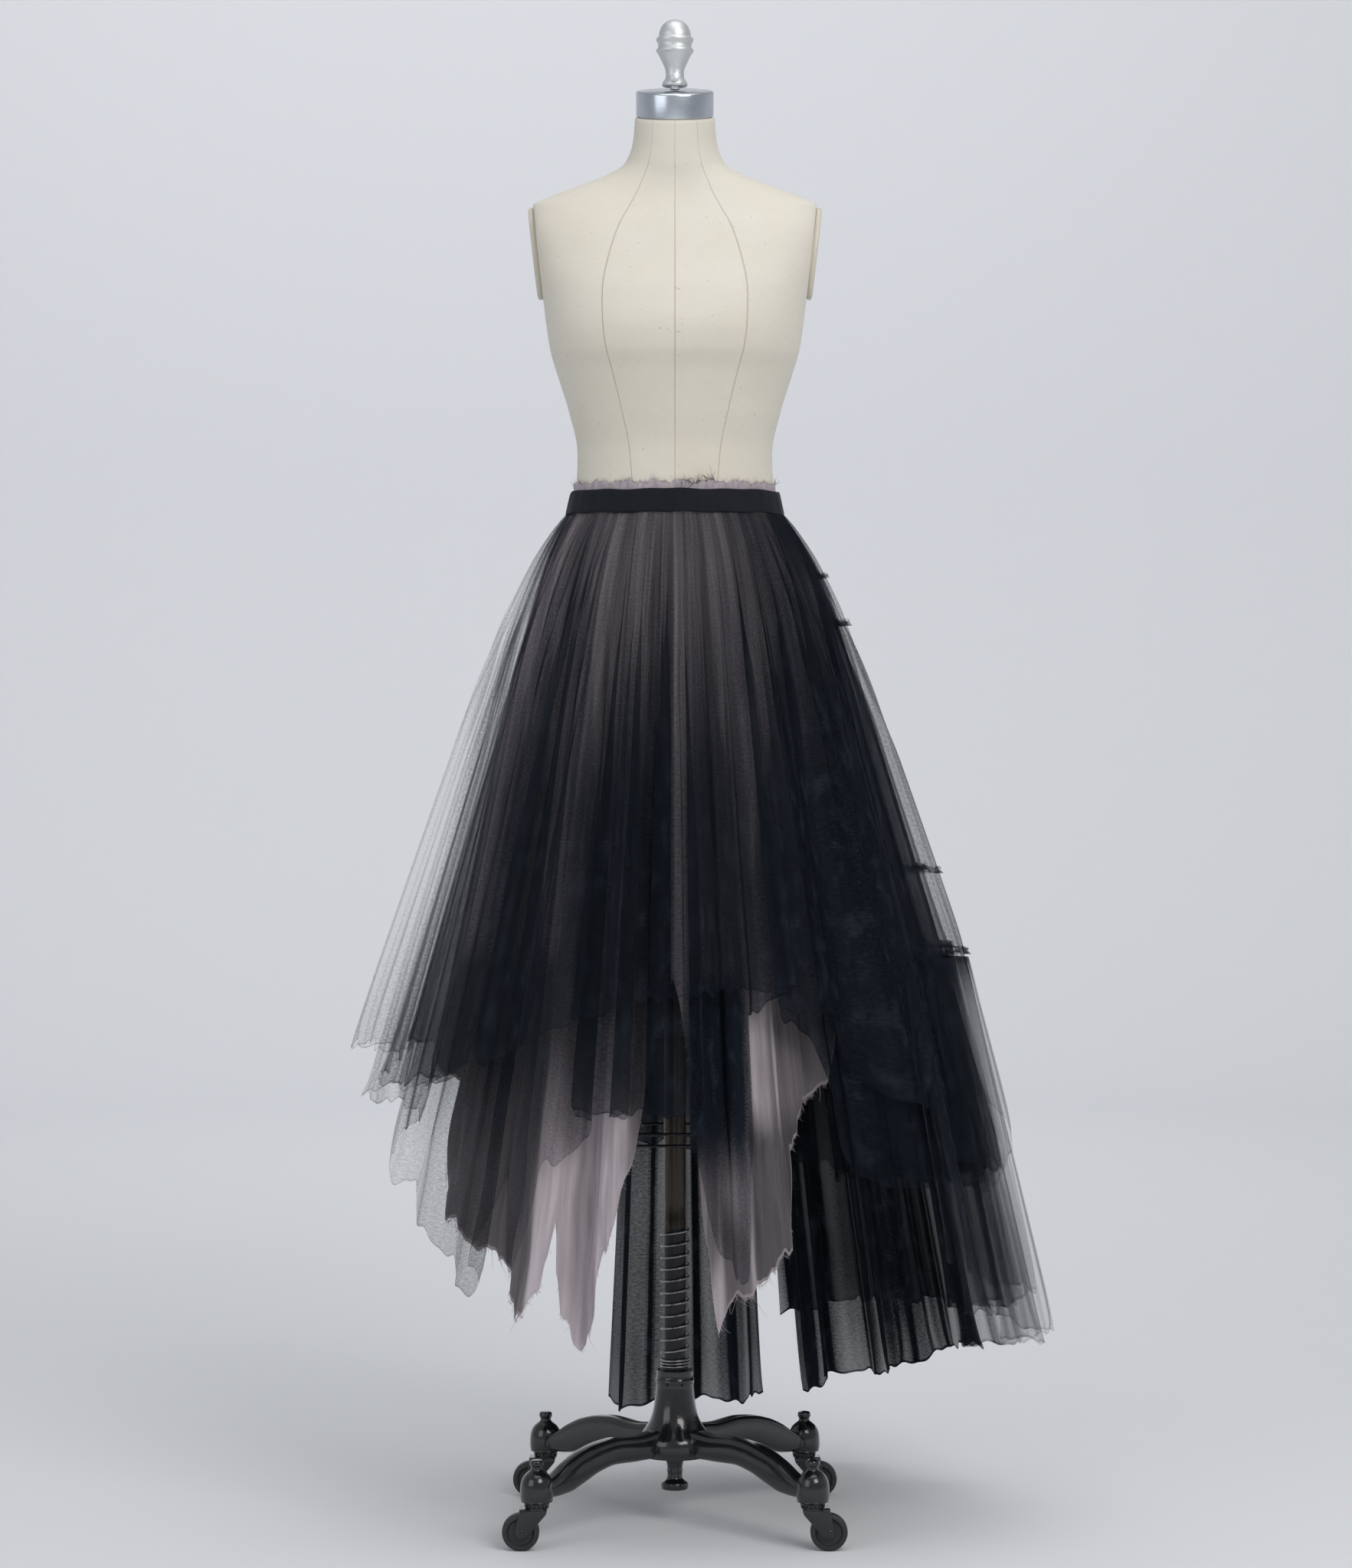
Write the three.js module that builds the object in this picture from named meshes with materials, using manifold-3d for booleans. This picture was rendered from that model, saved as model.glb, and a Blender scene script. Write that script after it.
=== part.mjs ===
// A black tulle skirt with a mauve underskirt, worn on a limbless dress form with a rolling cast-iron base.
// Millimetres, +Z up. The viewer stands on the -Y side, and +X is to the viewer's right.
// Angles round the skirt are in degrees: 0 is the centre front, 90 the viewer's right, 180 the centre back.
import * as THREE from "three";
import { mergeVertices } from "three/addons/utils/BufferGeometryUtils.js";
import Module from "manifold-3d";

const wasm = await Module();
wasm.setup();

// Driving dimensions
const seamGap = 0.3;
const waistZ = 1226;
const bandHeight = 28;
const bandThickness = 5;
const bandBottomHalf = { width: 133, depth: 99 };
const bandTopHalf = { width: 127, depth: 94 };
const liningRise = 9;
const liningThickness = 1.2;
const columnsAround = 80;
const columnDegrees = 360 / columnsAround;
const foldsAround = 15;
const torsoBottomZ = 930;
const neckTopZ = 1707;
const neckTilt = 0.23;
const capRadius = 47;
const capHeight = 30;
const poleRadius = 13.3;
const columnTopZ = 187;
const springTopZ = 360;
const postReach = 230;
const postBottomZ = 57.7;
const wheelRadius = 22;
const wheelWidth = 18;
const casterTrail = 19;

const radians = THREE.MathUtils.degToRad;
const lerp = THREE.MathUtils.lerp;

function material(name, color, roughness, metalness = 0) {
  return new THREE.MeshStandardMaterial({ name, color, roughness, metalness });
}

const materials = {
  band: material("band", 0x15171c, 0.8),
  lining: material("lining", 0x8d8286, 0.55),
  tulle: material("tulle", 0x14171d, 0.85),
  linen: material("linen", 0xe3ded0, 0.85),
  plate: material("plate", 0x9b917c, 0.5),
  steel: material("steel", 0x9aa1a8, 0.25, 1),
  finial: material("finial", 0x9b9fa0, 0.4, 1),
  iron: material("iron", 0x17191b, 0.4, 0.6),
  bronze: material("bronze", 0x3b352b, 0.45, 0.7),
  tyre: material("tyre", 0x1c1d1f, 0.6),
};

// Value of a named column at an angle, from rows sorted by degrees that go once round, with eased steps between rows
function roundTable(rows, degrees, column) {
  const turned = THREE.MathUtils.euclideanModulo(degrees - rows[0].deg, 360) + rows[0].deg;
  const at = rows.findLastIndex((row) => row.deg <= turned);
  const low = rows[at];
  const next = rows[(at + 1) % rows.length];
  const nextDegrees = at + 1 < rows.length ? next.deg : next.deg + 360;
  const share = (turned - low.deg) / (nextDegrees - low.deg);
  return lerp(low[column], next[column], share * share * (3 - 2 * share));
}

// Value of a named column between rows sorted by another column
function along(rows, key, value, column) {
  const last = rows.length - 1;
  if (value <= rows[0][key]) return rows[0][column];
  if (value >= rows[last][key]) return rows[last][column];
  const at = rows.findIndex((row) => row[key] >= value);
  const share = (value - rows[at - 1][key]) / (rows[at][key] - rows[at - 1][key]);
  return lerp(rows[at - 1][column], rows[at][column], share);
}

// Radius of an oval with the given half width and half depth, in one direction; power 2 is an ellipse
function ovalRadius(degrees, width, depth, power = 2) {
  const side = Math.abs(Math.sin(radians(degrees))) / width;
  const front = Math.abs(Math.cos(radians(degrees))) / depth;
  return 1 / Math.pow(Math.pow(side, power) + Math.pow(front, power), 1 / power);
}

function polar(degrees, radius, z) {
  return new THREE.Vector3(radius * Math.sin(radians(degrees)), -radius * Math.cos(radians(degrees)), z);
}

// Closed mesh from a list of points and a list of triangles
function geometryFrom(points, triangles) {
  const geometry = new THREE.BufferGeometry();
  geometry.setFromPoints(points);
  geometry.setIndex(triangles);
  geometry.computeVertexNormals();
  return geometry;
}

// A wall of cloth between an outer and an inner grid of points, both [column][row] with rows going down
function wall(outer, inner, closed) {
  const columns = outer.length;
  const rows = outer[0].length;
  const points = [...outer.flat(), ...inner.flat()];
  const out = (i, j) => (i % columns) * rows + j;
  const inn = (i, j) => columns * rows + out(i, j);
  const triangles = [];
  const quad = (a, b, c, d) => triangles.push(a, b, d, d, b, c);
  for (let i = 0; i < (closed ? columns : columns - 1); i++) {
    for (let j = 0; j < rows - 1; j++) {
      quad(out(i, j), out(i, j + 1), out(i + 1, j + 1), out(i + 1, j));
      quad(inn(i, j), inn(i + 1, j), inn(i + 1, j + 1), inn(i, j + 1));
    }
    quad(out(i + 1, 0), inn(i + 1, 0), inn(i, 0), out(i, 0));
    quad(out(i, rows - 1), inn(i, rows - 1), inn(i + 1, rows - 1), out(i + 1, rows - 1));
  }
  for (let j = 0; j < rows - 1 && !closed; j++) {
    const end = columns - 1;
    quad(inn(0, j), inn(0, j + 1), out(0, j + 1), out(0, j));
    quad(out(end, j), out(end, j + 1), inn(end, j + 1), inn(end, j));
  }
  return geometryFrom(points, triangles);
}

// A solid through rings of points that lie one above the other, with flat ends
function loft(rings) {
  const count = rings[0].length;
  const points = rings.flat();
  const centre = (ring) => ring.reduce((sum, p) => sum.add(p), new THREE.Vector3()).divideScalar(count);
  points.push(centre(rings[0]), centre(rings.at(-1)));
  const top = (rings.length - 1) * count;
  const triangles = [];
  for (let i = 0; i < count; i++) {
    const j = (i + 1) % count;
    for (let base = 0; base < top; base += count) {
      triangles.push(base + i, base + j, base + count + i, base + count + i, base + j, base + count + j);
    }
    triangles.push(points.length - 2, j, i, points.length - 1, top + i, top + j);
  }
  return geometryFrom(points, triangles);
}

function solidOf(geometry) {
  const bare = geometry.index ? geometry.toNonIndexed() : geometry.clone();
  bare.deleteAttribute("normal");
  bare.deleteAttribute("uv");
  const merged = mergeVertices(bare, 1e-3);
  const vertProperties = new Float32Array(merged.attributes.position.array);
  return new wasm.Manifold(new wasm.Mesh({ numProp: 3, vertProperties, triVerts: new Uint32Array(merged.index.array) }));
}

function geometryOf(solid) {
  const made = solid.getMesh();
  const geometry = new THREE.BufferGeometry();
  geometry.setAttribute("position", new THREE.BufferAttribute(made.vertProperties, 3));
  geometry.setIndex(new THREE.BufferAttribute(made.triVerts, 1));
  geometry.computeVertexNormals();
  return geometry;
}

function joined(geometries) {
  return geometries.map(solidOf).reduce((whole, piece) => whole.add(piece));
}

// A turned solid about the vertical axis from rows of radius and height, listed from the bottom up
function turned(rows, segments) {
  const profile = rows.map((row) => new THREE.Vector2(row.r, row.z));
  return new THREE.LatheGeometry(profile, segments).rotateX(Math.PI / 2);
}

const model = new THREE.Group();

function node(name, geometry, finish, parent = model) {
  const mesh = new THREE.Mesh(geometry, finish);
  mesh.name = name;
  parent.add(mesh);
  return mesh;
}

// Sections of the padded torso from the bottom board to the neck; lean tips a section forward by its slope
const torsoSections = [
  { z: torsoBottomZ, width: 138, depth: 97, shift: 6, power: 2.2, lean: 0 },
  { z: 975, width: 149, depth: 105, shift: 8, power: 2.2, lean: 0 },
  { z: 1040, width: 152, depth: 107, shift: 8, power: 2.1, lean: 0 },
  { z: 1110, width: 147, depth: 103, shift: 6, power: 2.1, lean: 0 },
  { z: 1170, width: 136, depth: 98, shift: 3, power: 2, lean: 0 },
  { z: 1222, width: 125.6, depth: 91.7, shift: 0, power: 2, lean: 0 },
  { z: 1240, width: 123.2, depth: 89.9, shift: 0, power: 2, lean: 0 },
  { z: 1264, width: 119.2, depth: 86.7, shift: 0, power: 2, lean: 0 },
  { z: 1300, width: 118, depth: 86, shift: 0, power: 2.1, lean: 0 },
  { z: 1350, width: 128, depth: 94, shift: -3, power: 2.2, lean: 0 },
  { z: 1395, width: 142, depth: 105, shift: -7, power: 2.2, lean: 0 },
  { z: 1422, width: 150, depth: 113, shift: -12, power: 2.2, lean: 0 },
  { z: 1446, width: 154, depth: 115.5, shift: -13, power: 2.2, lean: 0 },
  { z: 1485, width: 160, depth: 111, shift: -8, power: 2.4, lean: 0 },
  { z: 1530, width: 170, depth: 97, shift: 0, power: 2.7, lean: 0 },
  { z: 1570, width: 177, depth: 82, shift: 5, power: 2.8, lean: 0 },
  { z: 1598, width: 175, depth: 66, shift: 7, power: 2.6, lean: 0 },
  { z: 1611, width: 152, depth: 60, shift: 7, power: 2.3, lean: 0.02 },
  { z: 1625, width: 116, depth: 56, shift: 6, power: 2.1, lean: 0.05 },
  { z: 1638, width: 82, depth: 53, shift: 3, power: 2, lean: 0.08 },
  { z: 1652, width: 60, depth: 51, shift: -1, power: 2, lean: 0.12 },
  { z: 1678, width: 50.5, depth: 48, shift: -5, power: 2, lean: 0.18 },
  { z: neckTopZ, width: 48, depth: 47.5, shift: -8, power: 2, lean: neckTilt },
];
const neckShift = torsoSections.at(-1).shift;

// The armholes are flat faces that lean out towards the shoulder, each closed by an oval plate
const armPlate = { x: 165, y: 6, z: 1543, height: 112, depth: 62, thickness: 7, lean: 0.11 };

function torsoRing(section) {
  const around = 28;
  const sideLimit = armPlate.x + (section.z - armPlate.z) * Math.tan(armPlate.lean);
  return Array.from({ length: around }, (_, i) => {
    const degrees = (i * 360) / around;
    const point = polar(degrees, ovalRadius(degrees, section.width, section.depth, section.power), section.z);
    if (section.z > armPlate.z - armPlate.height) point.x = THREE.MathUtils.clamp(point.x, -sideLimit, sideLimit);
    point.z += point.y * section.lean;
    point.y += section.shift;
    return point;
  });
}

function buildTorso() {
  node("torso", loft(torsoSections.map(torsoRing)), materials.linen);
  for (const side of [-1, 1]) {
    const plate = new THREE.CylinderGeometry(0.5, 0.47, armPlate.thickness, 28).rotateZ((-side * Math.PI) / 2);
    plate.scale(1, armPlate.depth, armPlate.height);
    plate.translate(side * (armPlate.thickness / 2 + seamGap), 0, 0);
    const mesh = node(side < 0 ? "arm_plate_left" : "arm_plate_right", plate, materials.plate);
    mesh.rotation.y = side * armPlate.lean;
    mesh.position.set(side * armPlate.x, armPlate.y, armPlate.z);
  }
}

// The steel cap follows the neck's forward lean, and the finial stands upright on it
function buildCap() {
  const edge = 2;
  const cap = turned(
    [
      { r: 0, z: 0 },
      { r: capRadius, z: 0 },
      { r: capRadius, z: capHeight - edge },
      { r: capRadius - edge, z: capHeight },
      { r: 0, z: capHeight },
    ],
    32,
  );
  const mesh = node("neck_cap", cap, materials.steel);
  mesh.rotation.x = Math.atan(neckTilt);
  mesh.position.set(0, neckShift, neckTopZ + seamGap);
}

// Finial outline, heights above the middle of the cap's top face
const finialRows = [
  { r: 0, z: 0 },
  { r: 6, z: 0 },
  { r: 6, z: 3 },
  { r: 14, z: 3.5 },
  { r: 15.3, z: 7 },
  { r: 13.5, z: 10.5 },
  { r: 11.2, z: 15 },
  { r: 11.6, z: 24 },
  { r: 14.5, z: 31 },
  { r: 20, z: 43 },
  { r: 22.6, z: 46.5 },
  { r: 20.4, z: 49 },
  { r: 20.4, z: 55 },
  { r: 22.6, z: 60 },
  { r: 19.2, z: 63.5 },
  { r: 18.4, z: 70 },
  { r: 14.6, z: 77.5 },
  { r: 8.5, z: 82 },
  { r: 0, z: 84 },
];

function buildFinial() {
  const capTop = new THREE.Vector3(0, 0, capHeight).applyAxisAngle(new THREE.Vector3(1, 0, 0), Math.atan(neckTilt));
  const stemClearance = finialRows[1].r * neckTilt + seamGap;
  const mesh = node("finial", turned(finialRows, 14), materials.finial);
  mesh.position.set(0, neckShift + capTop.y, neckTopZ + seamGap + capTop.z + stemClearance);
}

// Wire cage under the torso: four uprights and two square rings near their feet
const cage = { half: 60, wire: 4, lowZ: 466, ringStep: 14, topZ: torsoBottomZ - seamGap };

function buildCage() {
  const pieces = [];
  const uprightHeight = cage.topZ - cage.lowZ + cage.wire / 2;
  for (const sx of [-1, 1]) {
    for (const sy of [-1, 1]) {
      const upright = new THREE.BoxGeometry(cage.wire, cage.wire, uprightHeight);
      pieces.push(upright.translate(sx * cage.half, sy * cage.half, cage.topZ - uprightHeight / 2));
    }
  }
  for (const ringZ of [cage.lowZ, cage.lowZ + cage.ringStep]) {
    for (const side of [-1, 1]) {
      const across = new THREE.BoxGeometry(2 * cage.half, cage.wire, cage.wire);
      pieces.push(across.translate(0, side * cage.half, ringZ));
      const deep = new THREE.BoxGeometry(cage.wire, 2 * cage.half, cage.wire);
      pieces.push(deep.translate(side * cage.half, 0, ringZ));
    }
  }
  node("cage", geometryOf(joined(pieces)), materials.iron);
}

function buildPole() {
  const tube = (low, high, radius) =>
    new THREE.CylinderGeometry(radius, radius, high - low, 20).rotateX(Math.PI / 2).translate(0, 0, (low + high) / 2);
  node("pole_lower", tube(columnTopZ + seamGap, springTopZ, poleRadius), materials.iron);
  node("pole_upper", tube(springTopZ + seamGap, torsoBottomZ - seamGap, poleRadius), materials.bronze);
}

// Counterbalance spring: three close turns at the foot, then even open turns
const spring = { wire: 1.5, radius: 16.3, closeTurns: 3, closePitch: 3.8, openTurns: 11, steps: 8, sides: 4 };

class SpringCurve extends THREE.Curve {
  getPoint(share, target = new THREE.Vector3()) {
    const turn = share * (spring.closeTurns + spring.openTurns);
    const footZ = columnTopZ + seamGap + spring.wire * 1.1;
    const openZ = footZ + spring.closeTurns * spring.closePitch;
    const openPitch = (springTopZ - spring.wire - openZ) / spring.openTurns;
    const z = turn < spring.closeTurns ? footZ + turn * spring.closePitch : openZ + (turn - spring.closeTurns) * openPitch;
    return target.set(spring.radius * Math.cos(turn * 2 * Math.PI), spring.radius * Math.sin(turn * 2 * Math.PI), z);
  }
}

function buildSpring() {
  const section = new THREE.Shape();
  for (let i = 0; i < spring.sides; i++) {
    const angle = (i * 2 * Math.PI) / spring.sides;
    const corner = [spring.wire * Math.cos(angle), spring.wire * Math.sin(angle)];
    if (i) section.lineTo(...corner);
    else section.moveTo(...corner);
  }
  const steps = spring.steps * (spring.closeTurns + spring.openTurns);
  node("spring", new THREE.ExtrudeGeometry(section, { steps, extrudePath: new SpringCurve() }), materials.iron);
}

// Cast base: a column and hub, four bowed arms and four domed caster sockets
const columnRows = [
  { r: 0, z: 82 },
  { r: 40, z: 82 },
  { r: 46, z: 90 },
  { r: 45, z: 104 },
  { r: 36, z: 116 },
  { r: 28, z: 132 },
  { r: 24, z: 152 },
  { r: 22.3, z: 170 },
  { r: 22.3, z: columnTopZ },
  { r: 0, z: columnTopZ },
];
const armRows = [
  { reach: 20, low: 84, high: 118 },
  { reach: 67, low: 84, high: 114 },
  { reach: 105, low: 85, high: 117 },
  { reach: 132, low: 80, high: 115 },
  { reach: 158, low: 70, high: 109 },
  { reach: 182, low: 62, high: 99 },
  { reach: 206, low: 60, high: 84 },
  { reach: 222, low: 60, high: 80 },
];
const armWidth = 25;
const armBevel = 3;
const socketRows = [
  { r: 0, z: postBottomZ },
  { r: 18, z: postBottomZ },
  { r: 19.7, z: 63 },
  { r: 19, z: 78 },
  { r: 16, z: 87 },
  { r: 9, z: 94 },
  { r: 6.6, z: 97 },
  { r: 8, z: 101 },
  { r: 7.4, z: 107 },
  { r: 0, z: 107 },
];
const armDegrees = [45, 135, 225, 315];

function buildBase() {
  const pieces = [turned(columnRows, 20)];
  const side = new THREE.Shape();
  side.moveTo(armRows[0].reach, armRows[0].low + armBevel);
  armRows.slice(1).forEach((row) => side.lineTo(row.reach, row.low + armBevel));
  armRows.toReversed().forEach((row) => side.lineTo(row.reach, row.high - armBevel));
  const options = { depth: armWidth - 2 * armBevel, bevelSize: armBevel, bevelThickness: armBevel, bevelSegments: 1 };
  for (const degrees of armDegrees) {
    const arm = new THREE.ExtrudeGeometry(side, options).translate(0, 0, -options.depth / 2);
    arm.rotateX(Math.PI / 2).rotateZ(radians(degrees));
    const socket = turned(socketRows, 12).rotateZ(radians(degrees));
    const reach = new THREE.Vector3(postReach, 0, 0).applyAxisAngle(new THREE.Vector3(0, 0, 1), radians(degrees));
    pieces.push(arm, socket.translate(reach.x, reach.y, 0));
  }
  node("base_casting", geometryOf(joined(pieces)), materials.iron);
  const footRows = [
    { r: 0, z: 41 },
    { r: 15, z: 41 },
    { r: 16.5, z: 44 },
    { r: 16.5, z: 49 },
    { r: 10, z: 54 },
    { r: 9, z: 60 },
    { r: 11.5, z: 82 - seamGap },
    { r: 0, z: 82 - seamGap },
  ];
  node("spindle_foot", turned(footRows, 14), materials.iron);
}

// Casters, each in the photo's rest position, trailing outwards along X
const casterPlaces = [
  { name: "front_left", x: -1, y: -1 },
  { name: "front_right", x: 1, y: -1 },
  { name: "rear_left", x: -1, y: 1 },
  { name: "rear_right", x: 1, y: 1 },
];
const fork = { cheek: 2.6, clearance: 0.8, plateLowZ: 45.6, plateZ: 50, raceZ: postBottomZ - seamGap, axleRadius: 3 };

function forkGeometry() {
  const cheekInner = wheelWidth / 2 + fork.clearance;
  const outline = new THREE.Shape();
  outline.moveTo(-13, fork.plateZ - 0.2);
  outline.lineTo(casterTrail - 7, wheelRadius - 3);
  outline.absarc(casterTrail, wheelRadius, 7, Math.PI, 2 * Math.PI, false);
  outline.lineTo(casterTrail + 2, fork.plateZ - 0.2);
  const pieces = [-1, 1].map((side) => {
    const cheek = new THREE.ExtrudeGeometry(outline, { depth: fork.cheek, bevelEnabled: false, curveSegments: 4 });
    return cheek.rotateX(Math.PI / 2).translate(0, side > 0 ? cheekInner + fork.cheek : -cheekInner, 0);
  });
  const plateLength = casterTrail + 15;
  const plateHeight = fork.plateZ - fork.plateLowZ;
  const plate = new THREE.BoxGeometry(plateLength, 2 * (cheekInner + fork.cheek) - 0.2, plateHeight);
  pieces.push(plate.translate(casterTrail + 2 - plateLength / 2, 0, fork.plateLowZ + plateHeight / 2));
  const raceHeight = fork.raceZ - fork.plateZ + 1;
  const race = new THREE.CylinderGeometry(15.5, 13.5, raceHeight, 12).rotateX(Math.PI / 2);
  pieces.push(race.translate(0, 0, fork.raceZ - raceHeight / 2));
  const axle = new THREE.CylinderGeometry(fork.axleRadius, fork.axleRadius, 2 * (cheekInner + fork.cheek) + 3, 8);
  pieces.push(axle.translate(casterTrail, 0, wheelRadius));
  return geometryOf(joined(pieces));
}

// The tread has a flat at its lowest point, which is what stands on the floor
function wheelGeometry() {
  const segments = 18;
  const bore = fork.axleRadius + 0.4;
  const rim = 1.5;
  const halfWidth = wheelWidth / 2;
  const profile = [
    [bore, -halfWidth + rim],
    [wheelRadius - 6.5, -halfWidth + rim],
    [wheelRadius - 5, -halfWidth],
    [wheelRadius, -halfWidth + rim],
    [wheelRadius, halfWidth - rim],
    [wheelRadius - 5, halfWidth],
    [wheelRadius - 6.5, halfWidth - rim],
    [bore, halfWidth - rim],
    [bore, -halfWidth + rim],
  ];
  const toCorner = 1 / Math.cos(Math.PI / segments);
  const points = profile.map(([r, across]) => new THREE.Vector2(r * toCorner, across));
  return new THREE.LatheGeometry(points, segments).rotateY(Math.PI / segments);
}

function buildCasters() {
  const reach = postReach * Math.SQRT1_2;
  for (const place of casterPlaces) {
    const caster = new THREE.Group();
    caster.position.set(place.x * reach, place.y * reach, 0);
    caster.rotation.z = place.x < 0 ? Math.PI : 0;
    node("fork_" + place.name, forkGeometry(), materials.iron, caster);
    const wheel = node("wheel_" + place.name, wheelGeometry(), materials.tyre, caster);
    wheel.position.set(casterTrail, 0, wheelRadius);
    model.add(caster);
  }
}

// Waistband, and the raw upper edge of the lining that stands above it
function ringWall(rows) {
  const around = 48;
  const column = (side) =>
    Array.from({ length: around }, (_, i) => {
      const degrees = (i * 360) / around;
      return rows.map((row) => polar(degrees, ovalRadius(degrees, row[side].width, row[side].depth), row.z));
    });
  return wall(column("outer"), column("inner"), true);
}

const smaller = (half, by) => ({ width: half.width - by, depth: half.depth - by });

function buildBand() {
  const rows = [
    { z: waistZ + bandHeight, outer: bandTopHalf, inner: smaller(bandTopHalf, bandThickness - 1) },
    { z: waistZ, outer: bandBottomHalf, inner: smaller(bandBottomHalf, bandThickness) },
  ];
  node("waistband", ringWall(rows), materials.band);
  const liningOuter = (z) => {
    const share = (z - waistZ) / bandHeight;
    const inset = lerp(bandThickness, bandThickness - 1, share) + seamGap;
    return {
      width: lerp(bandBottomHalf.width, bandTopHalf.width, share) - inset,
      depth: lerp(bandBottomHalf.depth, bandTopHalf.depth, share) - inset,
    };
  };
  const lining = [waistZ + bandHeight + liningRise, waistZ + bandHeight / 2].map((z) => {
    const outer = liningOuter(z);
    return { z, outer, inner: smaller(outer, liningThickness) };
  });
  node("lining_edge", ringWall(lining), materials.lining);
}

// Folds, the same on each layer so that the layers nest: fine gathers under the band that give way to broad folds
const foldGrowth = [
  { depth: 0, gather: 0.5, fold: 0 },
  { depth: 14, gather: 1.7, fold: 0.8 },
  { depth: 50, gather: 3.2, fold: 3 },
  { depth: 110, gather: 4, fold: 6 },
  { depth: 300, gather: 4, fold: 12 },
  { depth: 550, gather: 3, fold: 19 },
  { depth: 1150, gather: 3, fold: 28 },
];

function foldAt(column, degrees, depth) {
  const uneven = [1, 0.6, 0.85, 1.1, 0.7][THREE.MathUtils.euclideanModulo(Math.floor(column / 2), 5)];
  const gather = (column % 2 ? 1 : -1) * uneven * along(foldGrowth, "depth", depth, "gather");
  const phase = radians(foldsAround * degrees) + 1.1 * Math.sin(radians(3 * degrees + 40));
  const swell = 1 + 0.3 * Math.sin(radians(4 * degrees + 100));
  return gather + swell * Math.sin(phase) * along(foldGrowth, "depth", depth, "fold");
}

// Each layer: how far it stands off the waist, its kick over the hips, its slopes and the length of its hem
const layers = {
  underskirt: { start: 0.6, kick: 20, side: 0.18, front: 0.14, back: 0.15, finish: materials.lining },
  tulle_under: { start: 2.1, kick: 26, side: 0.27, front: 0.18, back: 0.2, finish: materials.tulle },
  tulle_over: { start: 3.6, kick: 31, side: 0.315, front: 0.215, back: 0.27, finish: materials.tulle },
};
const kickDepth = 70;
const sharedDepths = [0, 20, 100];

const hems = {
  underskirt: [
    { deg: -180, drop: 640 },
    { deg: -139.5, drop: 620 },
    { deg: -99, drop: 640 },
    { deg: -81, drop: 690 },
    { deg: -72, drop: 760 },
    { deg: -63, drop: 835 },
    { deg: -54, drop: 875 },
    { deg: -45, drop: 920 },
    { deg: -40.5, drop: 945 },
    { deg: -36, drop: 905 },
    { deg: -31.5, drop: 915 },
    { deg: -27, drop: 981 },
    { deg: -22.5, drop: 930 },
    { deg: -18, drop: 860 },
    { deg: -13.5, drop: 780 },
    { deg: -9, drop: 660 },
    { deg: -4.5, drop: 556 },
    { deg: 0, drop: 553 },
    { deg: 4.5, drop: 640 },
    { deg: 9, drop: 850 },
    { deg: 13.5, drop: 956 },
    { deg: 18, drop: 915 },
    { deg: 31.5, drop: 862 },
    { deg: 36, drop: 745 },
    { deg: 45, drop: 692 },
    { deg: 54, drop: 600 },
    { deg: 81, drop: 580 },
    { deg: 130.5, drop: 630 },
  ],
  tulle_under: [
    { deg: -180, drop: 800 },
    { deg: -166.5, drop: 780 },
    { deg: -139.5, drop: 700 },
    { deg: -99, drop: 700 },
    { deg: -81, drop: 715 },
    { deg: -63, drop: 790 },
    { deg: -54, drop: 870 },
    { deg: -49.5, drop: 916 },
    { deg: -45, drop: 880 },
    { deg: -40.5, drop: 775 },
    { deg: -36, drop: 877 },
    { deg: -31.5, drop: 760 },
    { deg: -22.5, drop: 700 },
    { deg: -4.5, drop: 705 },
    { deg: 4.5, drop: 660 },
    { deg: 9, drop: 660 },
    { deg: 13.5, drop: 895 },
    { deg: 18, drop: 890 },
    { deg: 22.5, drop: 640 },
    { deg: 31.5, drop: 560 },
    { deg: 36, drop: 600 },
    { deg: 45, drop: 770 },
    { deg: 54, drop: 790 },
    { deg: 72, drop: 765 },
    { deg: 90, drop: 800 },
    { deg: 112.5, drop: 830 },
    { deg: 135, drop: 830 },
    { deg: 157.5, drop: 800 },
  ],
  tulle_over: [
    { deg: -180, drop: 625 },
    { deg: -139.5, drop: 645 },
    { deg: -103.5, drop: 655 },
    { deg: -90, drop: 640 },
    { deg: -63, drop: 675 },
    { deg: -45, drop: 640 },
    { deg: -22.5, drop: 590 },
    { deg: 0, drop: 566 },
    { deg: 27, drop: 556 },
    { deg: 36, drop: 590 },
    { deg: 45, drop: 655 },
    { deg: 54, drop: 700 },
    { deg: 58.5, drop: 533 },
    { deg: 157.5, drop: 533 },
    { deg: 162, drop: 600 },
  ],
};

// Half width and half depth of a layer at a depth below the waist, as one radius
function layerRadius(layer, degrees, depth) {
  const kick = layer.kick * (1 - Math.exp(-depth / kickDepth));
  const slope = lerp(layer.front, layer.back, (1 - Math.cos(radians(degrees))) / 2);
  const inner = smaller(bandBottomHalf, bandThickness);
  return ovalRadius(
    degrees,
    inner.width + layer.start + kick + layer.side * depth,
    inner.depth + layer.start + kick + slope * depth,
  );
}

const wallThickness = (depth) => lerp(1, 1.9, Math.min(1, depth / 60));

// Inner and outer points of one column of a layer, from the waist down to its hem
function layerColumn(name, column, rows = 4) {
  const degrees = column * columnDegrees;
  const layer = layers[name];
  const drop = roundTable(hems[name], degrees, "drop");
  const last = sharedDepths.at(-1);
  const lower = Array.from({ length: rows }, (_, j) => last + ((drop - last) * (j + 1)) / rows);
  const points = [...sharedDepths, ...lower].map((depth) => {
    const radius = layerRadius(layer, degrees, depth) + foldAt(column, degrees, depth);
    const z = waistZ - seamGap - depth;
    return { inner: polar(degrees, radius, z), outer: polar(degrees, radius + wallThickness(depth), z) };
  });
  return { outer: points.map((p) => p.outer), inner: points.map((p) => p.inner) };
}

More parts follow.
